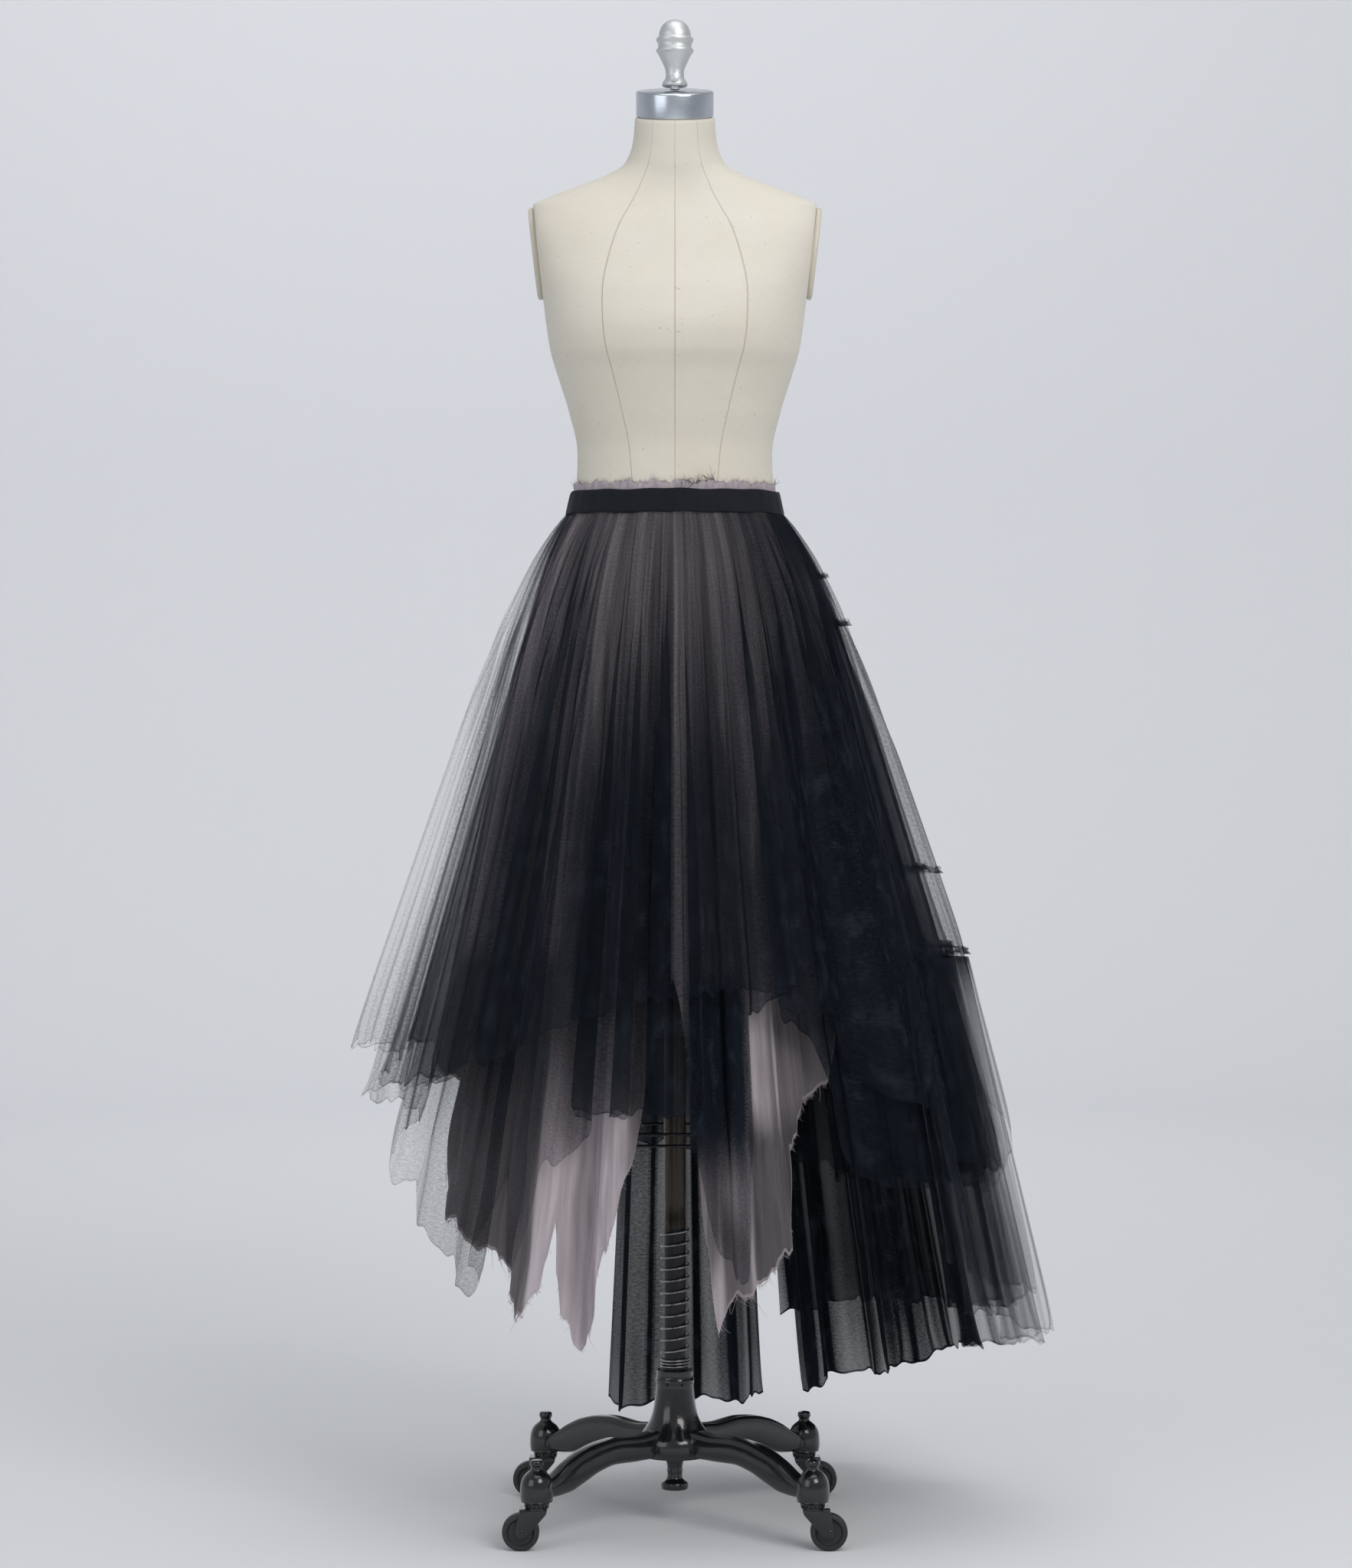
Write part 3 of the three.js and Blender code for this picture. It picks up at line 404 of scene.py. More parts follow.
skirt = {
    "waistZ": 1225.7,
    "innerWidth": 128.0,
    "innerDepth": 94.0,
    "kickDepth": 70.0,
    "foldsAround": 15,
    "foldDepths": [0, 14, 50, 110, 300, 550, 1150],
    "broad": [0, 0.8, 3, 6, 12, 19, 28],
    "gather": [0.5, 1.5, 2.6, 3.2, 3.4, 3, 3],
    "fine": [0.3, 0.9, 1.3, 1.3, 1.1, 0.8, 0.7],
}
layers = {
    "underskirt": {"start": 0.6, "kick": 20, "side": 0.18, "front": 0.14, "back": 0.15},
    "tulleUnder": {"start": 2.1, "kick": 26, "side": 0.27, "front": 0.18, "back": 0.2},
    "tulleOver": {"start": 3.6, "kick": 31, "side": 0.315, "front": 0.215, "back": 0.27},
}
hems = {
    "underskirt": [(-180, 640), (-139.5, 620), (-99, 640), (-81, 690), (-72, 760), (-63, 835), (-54, 875), (-45, 915), (-41, 942),
                   (-38.2, 938), (-35.4, 912), (-34.2, 870), (-33.5, 826), (-32.9, 890), (-31.5, 944), (-26.5, 981), (-24, 962), (-18, 860), (-13.5, 780), (-9, 660), (-4.5, 556), (0, 553),
                   (4.5, 640), (9, 850), (13.5, 956), (18, 915), (31.5, 862), (36, 745), (45, 692), (54, 600), (81, 580), (130.5, 630)],
    "tulleUnder": [(-180, 800), (-166.5, 780), (-139.5, 700), (-99, 700), (-81, 715), (-63, 790), (-54, 870), (-49.5, 916), (-45, 880),
                   (-40.5, 775), (-36, 877), (-31.5, 760), (-22.5, 700), (-4.5, 705), (4.5, 700), (8, 745), (11, 860), (14.5, 895), (18, 890), (19.6, 760), (20.6, 590), (31.5, 560), (36, 600),
                   (45, 770), (54, 790), (72, 765), (90, 800), (112.5, 830), (135, 830), (157.5, 800)],
    "tulleOver": [(-180, 625), (-139.5, 645), (-103.5, 655), (-90, 640), (-63, 675), (-45, 640), (-22.5, 590), (0, 566), (27, 556),
                  (36, 590), (45, 655), (54, 700), (58.5, 533), (157.5, 533), (162, 600)],
}


def byAngle(rows, degrees):
    angles = np.array([row[0] for row in rows] + [rows[0][0] + 360.0])
    values = np.array([row[1] for row in rows] + [rows[0][1]], float)
    turned = (degrees - angles[0]) % 360 + angles[0]
    at = np.clip(np.searchsorted(angles, turned, side="right") - 1, 0, len(rows) - 1)
    share = (turned - angles[at]) / (angles[at + 1] - angles[at])
    return values[at] + (values[at + 1] - values[at]) * share * share * (3 - 2 * share)


def ovalRadius(angle, width, depth, power=2):
    return (np.abs(np.sin(angle) / width) ** power + np.abs(np.cos(angle) / depth) ** power) ** (-1 / power)


def layerRadius(layer, angle, depth):
    kick = layer["kick"] * (1 - np.exp(-depth / skirt["kickDepth"]))
    slope = layer["front"] + (layer["back"] - layer["front"]) * (1 - np.cos(angle)) / 2
    width = skirt["innerWidth"] + layer["start"] + kick + layer["side"] * depth
    return ovalRadius(angle, width, skirt["innerDepth"] + layer["start"] + kick + slope * depth)


def growth(name, depth):
    return np.interp(depth, skirt["foldDepths"], skirt[name])


def foldPhase(angle):
    return skirt["foldsAround"] * angle + 1.1 * np.sin(3 * angle + math.radians(40))


def foldOut(angle, depth, turn=0.0):
    # how far the folds push the cloth out, in mm: broad folds shared by all layers, finer ones turned a little in each
    swell = 1 + 0.3 * np.sin(4 * angle + math.radians(100))
    loose = np.clip((depth - 90) / 200, 0, 1) * turn
    broad = swell * np.sin(foldPhase(angle)) * growth("broad", depth)
    gather = np.sin(40 * angle + 1.6 * np.sin(7 * angle + 0.4) + 1.1 * np.sin(11 * angle + 2.1) + loose)
    fine = np.sin(97 * angle + 2.3 * np.sin(5 * angle + 1) + 1.4 * np.sin(17 * angle + 3) - 1.7 * loose)
    finest = np.sin(151 * angle + 2.9 * np.sin(6 * angle + 2) + loose)
    return broad + gather * growth("gather", depth) + fine * growth("fine", depth) + finest * 0.55 * growth("fine", depth)


def foldAside(angle, depth, amount, turn=0.0):
    # folds that lap over their own roots: the slopes of each fold lean back, in radians
    settled = np.clip((depth - 70) / 330, 0, 1)
    uneven = 0.75 + 0.45 * np.sin(5 * angle + 0.7 + turn)
    broad = -np.sin(2 * foldPhase(angle) + 0.6 * turn) * 0.062 * uneven
    small = -np.sin(43 * angle + 1.6 * np.sin(7 * angle + 0.4) + 1.1 * np.sin(11 * angle + 2.1) + turn) * 0.03
    return (broad * settled + small * np.clip(depth / 180, 0, 1)) * amount


def creases(angle, depth, amount, turn=0.0):
    # 1 along the lines where a lapped fold turns back on itself
    step = 0.0012
    spread = 1 + (foldAside(angle + step, depth, amount, turn) - foldAside(angle - step, depth, amount, turn)) / (2 * step)
    return np.exp(-(spread / 0.4) ** 2)


def valleys(angle, depth, turn=0.0):
    # 0 on the crest of a fold and 1 deep between two, for the finer folds that start at the waist
    swing = 1.6 * np.sin(7 * angle + 0.4) + 1.1 * np.sin(11 * angle + 2.1)
    loose = np.clip((depth - 90) / 200, 0, 1)
    fine = 0.5 - 0.5 * np.sin(40 * angle + swing + loose * turn)
    crisp = 0.5 - 0.5 * np.sin(97 * angle + 2.3 * np.sin(5 * angle + 1) + 1.4 * np.sin(17 * angle + 3) - 1.7 * loose * turn)
    broad = 0.5 - 0.5 * np.sin(foldPhase(angle))
    return np.clip(0.42 * fine + 0.34 * crisp + (0.12 + 0.3 * loose) * broad - 0.06, 0, 1)


def foldLines(angle, turn):
    # thin lines where small folds of the net lie flat on themselves
    return np.abs(np.sin(31 * angle + 2.3 * np.sin(5 * angle + turn) + turn)) ** 40 + 0.7 * np.abs(np.sin(47 * angle - 3 * np.sin(4 * angle + 2 * turn))) ** 60


def hemWave(angle, turn):
    return 2.2 * np.sin(61 * angle + turn) + 1.6 * np.sin(113 * angle + 2 * turn + np.sin(9 * angle)) + 1.1 * np.sin(197 * angle + 3 * turn)


def onRound(angle, radius, z):
    return np.column_stack([radius * np.sin(angle), -radius * np.cos(angle), z])


# clear strips between the net's dense folds on the front: left and right at the waist, left and right where each closes,
# all in mm across, then the depth where it closes and how clear it is
clearStrips = [
    (-142, -104, -158, -143, 640, 0.72),
    (-172, -160, -180, -177, 330, 0.5),
    (-101, -84, -91, -84, 440, 0.7),
    (-80, -56, -74, -70, 300, 0.9),
    (-50, -34, -44, -41, 240, 0.6),
    (-26, -8, -17, -14, 380, 0.9),
    (2, 13, -19, 13, 700, 1.0),
    (32, 54, 56, 60, 290, 0.8),
    (62, 76, 66, 69, 230, 0.7),
    (84, 134, 90, 99, 440, 1.0),
    (138, 150, 156, 160, 380, 0.6),
]


def clearOf(across, depth):
    clear = np.zeros_like(across)
    for leftTop, rightTop, leftLow, rightLow, closed, amount in clearStrips:
        down = depth / closed
        left, right = leftTop + (leftLow - leftTop) * down, rightTop + (rightLow - rightTop) * down
        inside = np.clip((across - left) / 3 + 0.5, 0, 1) * np.clip((right - across) / 3 + 0.5, 0, 1)
        clear = np.maximum(clear, amount * inside * np.clip((closed - depth) / 60, 0, 1))
    return clear


# painted shade on the satin where it hangs below the net, darker patches for the parts in shadow or turned from the
# light: first and last angle, first and last depth, and the tone left in the patch (1 is unshaded)
liningShadePatches = [
    (21, 44, 690, 1100, 0.1), (15, 21, 800, 1100, 0.3), (9, 15, 690, 900, 0.5), (27, 30, 560, 760, 0.3), (31, 60, 560, 1000, 0.3),
    (-9, -2, 600, 860, 0.45), (-14, -9, 640, 860, 0.6), (-95, -37, 500, 1100, 0.22), (60, 300, 300, 1100, 0.5),
]


# 1 where the satin is unshaded, lower inside the painted shade patches
def liningPaintedShade(degrees, depth):
    around = (degrees + 90) % 360 - 90
    tone = np.ones_like(degrees)
    for first, last, top, bottom, level in liningShadePatches:
        inside = np.clip((around - first) / 0.8, 0, 1) * np.clip((last - around) / 0.8, 0, 1)
        inside = inside * np.clip((depth - top) / 45, 0, 1) * np.clip((bottom - depth) / 40, 0, 1)
        tone = tone * (1 - inside * (1 - level))
    return tone


def overlap(degrees, depth):
    # extra cover on the middle layer beside the lining's right point, standing for a fold of the net over itself:
    # dense above and lighter below
    around = (degrees + 180) % 360 - 180
    inside = np.clip((around - 3) / 2, 0, 1) * np.clip((20 - around) / 1.5, 0, 1) * np.clip((depth - 540) / 40, 0, 1)
    return 0.5 * inside * np.clip((790 - depth) / 60, 0.1, 1)


def layerPanel(key, first, last, look):
    def shape(u, t):
        degrees = first + (last - first) * u
        angle = np.radians(degrees)
        drop = byAngle(hems[key], degrees) + hemWave(angle, look["turn"]) * look["hemWaving"]
        depth = drop * (0.4 * t + 0.6 * t ** 1.35)
        aside = foldAside(angle, depth, look["lap"], look["turn"])
        radius = layerRadius(layers[key], angle + aside, depth) + foldOut(angle, depth, look["turn"])
        radius = radius + look["curl"] * np.exp(-(drop - depth) / 14) * np.sin(23 * angle + look["turn"]) + 0.6
        loose = np.clip((depth - 620) / 160, 0, 1)
        radius = radius + look["crumple"] * loose * (np.sin(34 * angle + depth / 31) + 0.7 * np.sin(depth / 23 - 52 * angle + 2 * np.sin(9 * angle)))
        points = onRound(angle + aside, radius, skirt["waistZ"] - depth)
        front = np.clip(np.cos(angle) * 5 - 1.4, 0, 1)
        dense = np.clip((depth - 60) / 280, 0, 1) * front * (1 - clearOf(points[:, 0], depth))
        dense = dense * (1 - 0.85 * np.clip((depth - 650) / 110, 0, 1))
        cover = byAngle(look["cover"], degrees) + dense * look["density"] + (1 - front) * 0.1 * np.clip((depth - 420) / 220, 0, 1)
        cover = cover + (look["waistCover"] + 0.3 * (1 - front)) * np.exp(-depth / 70) + (valleys(angle, depth, look["turn"]) - 0.5) * look["valleyCover"]
        cover = cover * (1 - look["hemThinning"] * np.clip((depth - 620) / 200, 0, 1)) + 0.24 * creases(angle, depth, look["lap"], look["turn"])
        cover = cover + look["lines"] * (0.3 + 0.7 * (1 - front)) * foldLines(angle, look["turn"]) * np.clip(depth / 200, 0, 1)
        if "overlap" in look:
            cover = cover + overlap(degrees, depth)
        # on the satin the cover attribute holds painted shade, not net cover: the shaded patches, and painted shade in
        # the fold valleys that is strongest near the waist and fades lower down
        if "paintsShade" in look:
            paintedValleyShade = 0.36 + 0.26 * np.clip(depth / 300, 0, 1) - 0.4 * np.clip((depth - 520) / 200, 0, 1)
            cover = liningPaintedShade(degrees, depth) * (1 - paintedValleyShade * valleys(angle, depth) ** 1.4)
        return points, {"uv": np.column_stack([angle * 0.36, depth / 1000]), "cover": cover, "hem": (drop - depth) / 1000}
    return drapedMesh(key, look["columns"], look["rows"], shape)


panels = {
    "underskirt": {"turn": 0.0, "lap": 0.0, "hemThinning": 0.0, "hemWaving": 1.3, "curl": 4.0, "crumple": 2.6, "cover": [(0, 1.0)], "density": 0.0, "lines": 0.0,
                   "valleyCover": 0.0, "paintsShade": True, "waistCover": 0.0, "columns": 460, "rows": 70, "finish": "satin",
                   "slot": "lining_mauve", "length": 0.98},
    "tulleUnder": {"turn": 1.9, "lap": 1.1, "hemThinning": 0.25, "hemWaving": 1.6, "curl": 5.0, "crumple": 1.4, "density": 0.28, "lines": 0.24, "valleyCover": 0.16,
                   "cover": [(-180, 0.62), (-124, 0.5), (-113, 0.14), (-98, 0.1), (-68, 0.13), (-59, 0.4), (-38, 0.33), (-10, 0.36),
                             (8, 0.38), (30, 0.38), (50, 0.56), (110, 0.6), (150, 0.66)], "overlap": True,
                   "waistCover": 0.04, "columns": 700, "rows": 52, "finish": "tulleUnder", "slot": "tulle_black", "length": 0.92},
    "tulleOver": {"turn": 3.7, "lap": 1.0, "hemThinning": 0.0, "hemWaving": 1.4, "curl": 5.0, "crumple": 0.0, "density": 0.22, "lines": 0.22, "valleyCover": 0.12,
                  "cover": [(-180, 0.5), (-124, 0.4), (-113, 0.08), (-98, 0.03), (-80, 0.03), (-66, 0.1), (-58, 0.3), (-20, 0.26),
                            (15, 0.26), (45, 0.38), (80, 0.36), (90, 0.24), (98, 0.3), (120, 0.42), (150, 0.5)],
                  "waistCover": 0.06, "columns": 740, "rows": 46, "finish": "tulleOver", "slot": "tulle_black", "length": 0.7},
}
solidNames = {"underskirt": "underskirt", "tulleUnder": "tulle_under", "tulleOver": "tulle_over"}
for key, look in panels.items():
    for half, first in (("Front", -90.0), ("Back", 90.0)):
        mesh = layerPanel(key, first, first + 180, look)
        piece = keep(key + half, mesh, finishes[look["finish"]], nodes=[solidNames[key] + "_" + half.lower()], slot=look["slot"])
print("skirt layers hung")


# ---- tiers

tiers = {
    "lowerTier": {"node": "lower_tier", "first": 58.5, "last": 157.5, "offset": 0.6, "slope": 0.225, "fan": 0.0, "turn": 0.8, "lap": 0.62,
                  "cover": [(58.5, 0.6), (72, 0.3), (80, 0.14), (104, 0.16), (113, 0.72), (126, 0.94), (157.5, 0.96)], "columns": 460, "rows": 40,
                  "hem": [(58.5, 930), (72, 955), (90, 1002), (108, 1028), (126, 1052), (135, 1088), (148.5, 1106), (157.5, 1130)]},
    "lowerTierInner": {"node": "lower_tier_inner", "first": 63.0, "last": 157.5, "offset": -1.9, "slope": 0.2, "fan": 0.0, "turn": 2.2,
                       "lap": 0.7, "cover": [(63, 0.6), (74, 0.3), (84, 0.12), (104, 0.2), (114, 0.7), (157.5, 0.86)],
                       "columns": 420, "rows": 32, "hem": [(63, 880), (90, 955), (112.5, 985), (135, 990), (157.5, 1020)]},
    "tierOverlay": {"node": "tier_overlay", "first": 76.5, "last": 103.5, "offset": 3.1, "slope": 0.245, "fan": 0.0, "turn": 1.1,
                    "lap": 0.5, "cover": [(76.5, 0.14), (103.5, 0.14)], "columns": 130, "rows": 24,
                    "hem": [(76.5, 690), (85.5, 770), (90, 818), (94.5, 838), (103.5, 740)]},
    "backTrain": {"node": "back_train", "first": 162.0, "last": 193.5, "offset": 0.6, "slope": 0.1, "fan": 2.5, "turn": 4.1, "lap": 0.8,
                  "cover": [(162, 0.97), (170, 0.9), (177, 0.95), (185, 0.86), (193.5, 0.96)], "columns": 170, "rows": 40,
                  "hem": [(162, 1116), (171, 1142), (180, 1126), (189, 1146), (193.5, 1128)]},
}


def tierPanel(name, look):
    def shape(u, t):
        degrees = look["first"] + (look["last"] - look["first"]) * u
        angle = np.radians(degrees)
        top = byAngle(hems["tulleOver"], degrees)
        drop = np.interp(degrees, *zip(*look["hem"])) + hemWave(angle, look["turn"]) * 1.2
        depth = top + (drop - top) * t
        standOff = layerRadius(layers["tulleOver"], angle, top) + look["offset"]
        radius = standOff + look["slope"] * (depth - top) + foldOut(angle, depth, look["turn"])
        frill = np.clip(1 - (depth - top) / 60, 0, 1) * 1.6 * np.sin(149 * angle + look["turn"])
        ruffle = 5 * np.exp(-(drop - depth) / 18) * np.sin(37 * angle + look["turn"])
        aside = foldAside(angle, depth, look["lap"], look["turn"]) * np.clip((depth - top) / 120, 0, 1)
        fan = np.radians(look["fan"]) * (2 * u - 1) * t
        points = onRound(angle + aside + fan, radius + frill + ruffle, skirt["waistZ"] - depth)
        cover = np.interp(degrees, *zip(*look["cover"])) + 0.3 * np.exp(-(depth - top) / 30) + (valleys(angle, depth, look["turn"]) - 0.5) * 0.2
        cover = cover + 0.2 * creases(angle, depth, look["lap"], look["turn"]) + 0.3 * foldLines(angle, look["turn"])
        cover = cover * (1 - 0.08 * np.clip(1 - (drop - depth) / 70, 0, 1))
        return points, {"uv": np.column_stack([angle * 0.42, depth / 1000]), "cover": cover, "hem": (drop - depth) / 1000}
    return drapedMesh(name, look["columns"], look["rows"], shape)


for name, look in tiers.items():
    mesh = tierPanel(name, look)
    piece = keep(name, mesh, finishes["tulleTier"], nodes=[look["node"]], slot="tulle_black")

ruffles = {
    "seamRuffleOne": {"node": "seam_ruffle_1", "first": 80, "last": 144, "top": 70, "bottom": 76, "waves": 46, "out": 2.0},
    "seamRuffleTwo": {"node": "seam_ruffle_2", "first": 79, "last": 153, "top": 127, "bottom": 134, "waves": 58, "out": 2.4},
    "seamRuffleThree": {"node": "seam_ruffle_3", "first": 71, "last": 153, "top": 426, "bottom": 432, "waves": 84, "out": 2.6},
    "seamRuffleFour": {"node": "seam_ruffle_4", "first": 57, "last": 153, "top": 522, "bottom": 529, "waves": 110, "out": 2.6},
}


def rufflePanel(name, look):
    def shape(u, t):
        angle = np.radians(look["first"] + (look["last"] - look["first"]) * u)
        ragged = 1.7 * np.sin(311 * angle) + 1.4 * np.sin(173 * angle + 1) + 1.0 * np.sin(467 * angle)
        fade = 0.25 + 0.75 * np.clip(np.minimum(u, 1 - u) * 14, 0, 1)
        depth = look["bottom"] - ((look["bottom"] - look["top"]) * (1 - t) - ragged * (1 - t)) * fade
        base = layerRadius(layers["tulleOver"], angle, depth) + foldOut(angle, depth, 3.7)
        wave = np.sin(look["waves"] * 2 * math.pi * u + 1.5 * np.sin(21 * u)) * look["out"]
        stand = 3.2 + wave * (0.35 + np.abs(2 * t - 0.9)) + 1.2 * np.sin(look["waves"] * 4.4 * math.pi * u)
        points = onRound(angle + 0.006 * np.cos(look["waves"] * 2 * math.pi * u), base + np.maximum(stand, 0.5), skirt["waistZ"] - depth)
        return points, {"uv": np.column_stack([angle * 0.36, depth / 1000]), "cover": (0.52 + 0.2 * np.sin(131 * angle)) * (0.5 + 0.5 * np.clip(angle * 5 - 8.6, 0, 1)), "hem": np.minimum(t, 1 - t) * 0.012}
    return drapedMesh(name, look["waves"] * 12, 5, shape)


for name, look in ruffles.items():
    mesh = rufflePanel(name, look)
    piece = keep(name, mesh, finishes["tulleRuffle"], nodes=[look["node"]], slot="tulle_black")
print("tiers and gathered seams sewn on")


# ---- waistband and the lining's raw upper edge

band = {"height": 28, "thickness": 5, "bottom": (133, 99), "top": (127, 94), "rise": 9.5, "liningLow": 14}


def bandShape(u, t):
    angle = 2 * math.pi * u
    turn = 2 * math.pi * t
    across = np.sign(np.cos(turn)) * np.abs(np.cos(turn)) ** 0.35
    up = np.sign(np.sin(turn)) * np.abs(np.sin(turn)) ** 0.35
    share = 0.5 + 0.5 * up
    width = band["bottom"][0] + (band["top"][0] - band["bottom"][0]) * share
    depth = band["bottom"][1] + (band["top"][1] - band["bottom"][1]) * share
    seam = np.exp(-((angle + math.pi) % (2 * math.pi) - math.pi) ** 2 / 0.00006)
    crumple = 0.35 * np.sin(9 * angle + 1) + 0.25 * np.sin(23 * angle + 2 * share) + 0.15 * np.sin(47 * angle)
    radius = ovalRadius(angle, width, depth) - band["thickness"] * (0.5 - 0.5 * across) + crumple + 0.7 * seam * (across > 0)
    z = skirt["waistZ"] + 0.3 + band["height"] * share + 0.5 * np.sin(6 * angle + 2) + 0.4 * np.sin(13 * angle)
    return onRound(angle, radius, z), {"uv": np.column_stack([angle * 0.12, share * 0.028])}


bandMesh = drapedMesh("waistband", 420, 28, bandShape, close=True)
bandPiece = keep("twillBand", bandMesh, finishes["ribbon"], nodes=["waistband"], slot="band_black")


def rawTop(angle):
    return band["rise"] + 1.6 * np.sin(17 * angle) + 1.2 * np.sin(41 * angle + 1) + 0.8 * np.sin(97 * angle + 2) + 0.5 * np.sin(211 * angle)


def liningRadius(angle, share):
    inset = band["thickness"] - share + 0.6
    width = band["bottom"][0] + (band["top"][0] - band["bottom"][0]) * share - inset
    depth = band["bottom"][1] + (band["top"][1] - band["bottom"][1]) * share - inset
    return ovalRadius(angle, width, depth)


def liningEdgeShape(u, t):
    angle = 2 * math.pi * u
    top = band["height"] + rawTop(angle)
    height = band["liningLow"] + (top - band["liningLow"]) * t
    share = height / band["height"]
    flop = np.clip((height - band["height"]) / 8, 0, 1)
    radius = liningRadius(angle, share) + flop * (1.0 + 0.9 * np.sin(19 * angle) + 0.7 * np.sin(53 * angle + 1))
    # the cover value 0.9 gives the satin edge a light painted shade
    return onRound(angle, radius, skirt["waistZ"] + height), {"uv": np.column_stack([angle * 0.12, height / 1000]), "cover": 0.9 + 0 * t, "hem": (top - height) / 1000}


edgeMesh = drapedMesh("liningEdge", 560, 9, liningEdgeShape)
edgePiece = keep("liningEdge", edgeMesh, finishes["satin"], nodes=["lining_edge"], slot="lining_mauve")


def threads(name, roots, finish, look):
    # roots are rows of point and direction in mm; each thread is a narrow strip that wanders from its root
    count = len(roots)
    bm = bmesh.new()
    bmesh.ops.create_grid(bm, x_segments=2 * count - 1, y_segments=4, size=0.5)
    between = [face for face in bm.faces if int((face.calc_center_median().x + 0.5) * (2 * count - 1)) % 2]
    bmesh.ops.delete(bm, geom=between, context="FACES")
    mesh = bpy.data.meshes.new(name)
    bm.to_mesh(mesh)
    bm.free()
    grid = np.zeros(len(mesh.vertices) * 3)
    mesh.vertices.foreach_get("co", grid)
    grid = grid.reshape(-1, 3) + 0.5
    column = np.rint(grid[:, 0] * (2 * count - 1)).astype(int)
    thread, side, s = column // 2, (column % 2 - 0.5)[:, None], grid[:, 1:2]
    root, way = np.array([row[0] for row in roots])[thread], np.array([row[1] for row in roots])[thread]
    length = dice.uniform(*look["length"], count)[thread][:, None]
    bend = dice.normal(0, look["bend"], (count, 3))[thread]
    across = np.cross(way, dice.normal(0, 1, (count, 3))[thread])
    across = across / (np.linalg.norm(across, axis=1)[:, None] + 1e-6) * look["width"]
    points = root + way * length * s + bend * length * s * s + across * side * (1.1 - 0.6 * s)
    mesh.vertices.foreach_set("co", toFrame(points).ravel())
    return keep(name, mesh, finishes[finish])


def waistRoots(count, low, high, upward):
    roots = []
    for angle in dice.uniform(low, high, count):
        height = band["height"] + rawTop(angle) - 1
        point = onRound(np.array([angle]), liningRadius(np.array([angle]), height / band["height"]) + 1.2, np.array([skirt["waistZ"] + height]))[0]
        way = np.array([dice.normal(0, 0.6), dice.normal(-0.2, 0.4), upward + dice.normal(0, 0.4)])
        roots.append((point, way / np.linalg.norm(way)))
    return roots


threads("waistFray", waistRoots(620, 0, 2 * math.pi, 0.8), "threadMauve", {"length": (1.5, 6.5), "bend": 0.35, "width": 0.45})
threads("waistBlackThreads", waistRoots(46, math.radians(4), math.radians(32), 0.3), "threadBlack", {"length": (5, 13), "bend": 0.6, "width": 0.6})


def hemRoots(count, low, high, key, look):
    roots = []
    for degrees in dice.uniform(low, high, count):
        angle = np.radians(np.array([degrees]))
        drop = byAngle(hems[key], np.array([degrees])) + hemWave(angle, look["turn"]) * look["hemWaving"]
        radius = layerRadius(layers[key], angle, drop) + foldOut(angle, drop, look["turn"]) + look["curl"] * np.sin(23 * angle + look["turn"]) + 0.6
        point = onRound(angle, radius, skirt["waistZ"] - drop)[0]
        way = np.array([dice.normal(0, 0.55), dice.normal(0, 0.4), -1.0])
        roots.append((point, way / np.linalg.norm(way)))
    return roots


threads("hemFray", hemRoots(1500, -84, 60, "underskirt", panels["underskirt"]), "threadMauve", {"length": (1.2, 5.5), "bend": 0.3, "width": 0.5})
threads("hemFrayLong", hemRoots(26, -70, 50, "underskirt", panels["underskirt"]), "threadMauve", {"length": (10, 24), "bend": 0.35, "width": 0.45})
print("band, raw edges and loose threads made")


# ---- dress form

torsoRows = [
    (930, 138, 97, 6, 2.2, 0), (975, 149, 105, 8, 2.2, 0), (1040, 152, 107, 8, 2.1, 0), (1110, 147, 103, 6, 2.1, 0), (1170, 136, 98, 3, 2, 0),
    (1222, 125.6, 91.7, 0, 2, 0), (1240, 123.2, 89.9, 0, 2, 0), (1264, 119.2, 86.7, 0, 2, 0), (1300, 118, 86, 0, 2.1, 0), (1350, 128, 94, -3, 2.2, 0),
    (1395, 142, 105, -7, 2.2, 0), (1422, 150, 113, -12, 2.2, 0), (1446, 154, 115.5, -13, 2.2, 0), (1485, 160, 111, -8, 2.4, 0), (1530, 170, 97, 0, 2.7, 0),
    (1570, 177, 82, 5, 2.8, 0), (1598, 175, 66, 7, 2.6, 0), (1611, 152, 60, 7, 2.3, 0.02), (1625, 116, 56, 6, 2.1, 0.05), (1638, 82, 53, 3, 2, 0.08),
    (1652, 60, 51, -1, 2, 0.12), (1678, 50.5, 48, -5, 2, 0.18), (1707, 48, 47.5, -8, 2, 0.23),
]
armPlate = {"x": 165, "y": 6, "z": 1543, "height": 112, "depth": 62, "thickness": 7, "lean": 0.11}
torsoSeams = {"columns": [0, 35, -35, 92.5, -92.5, 145, -145, 180], "neckZ": 1648}


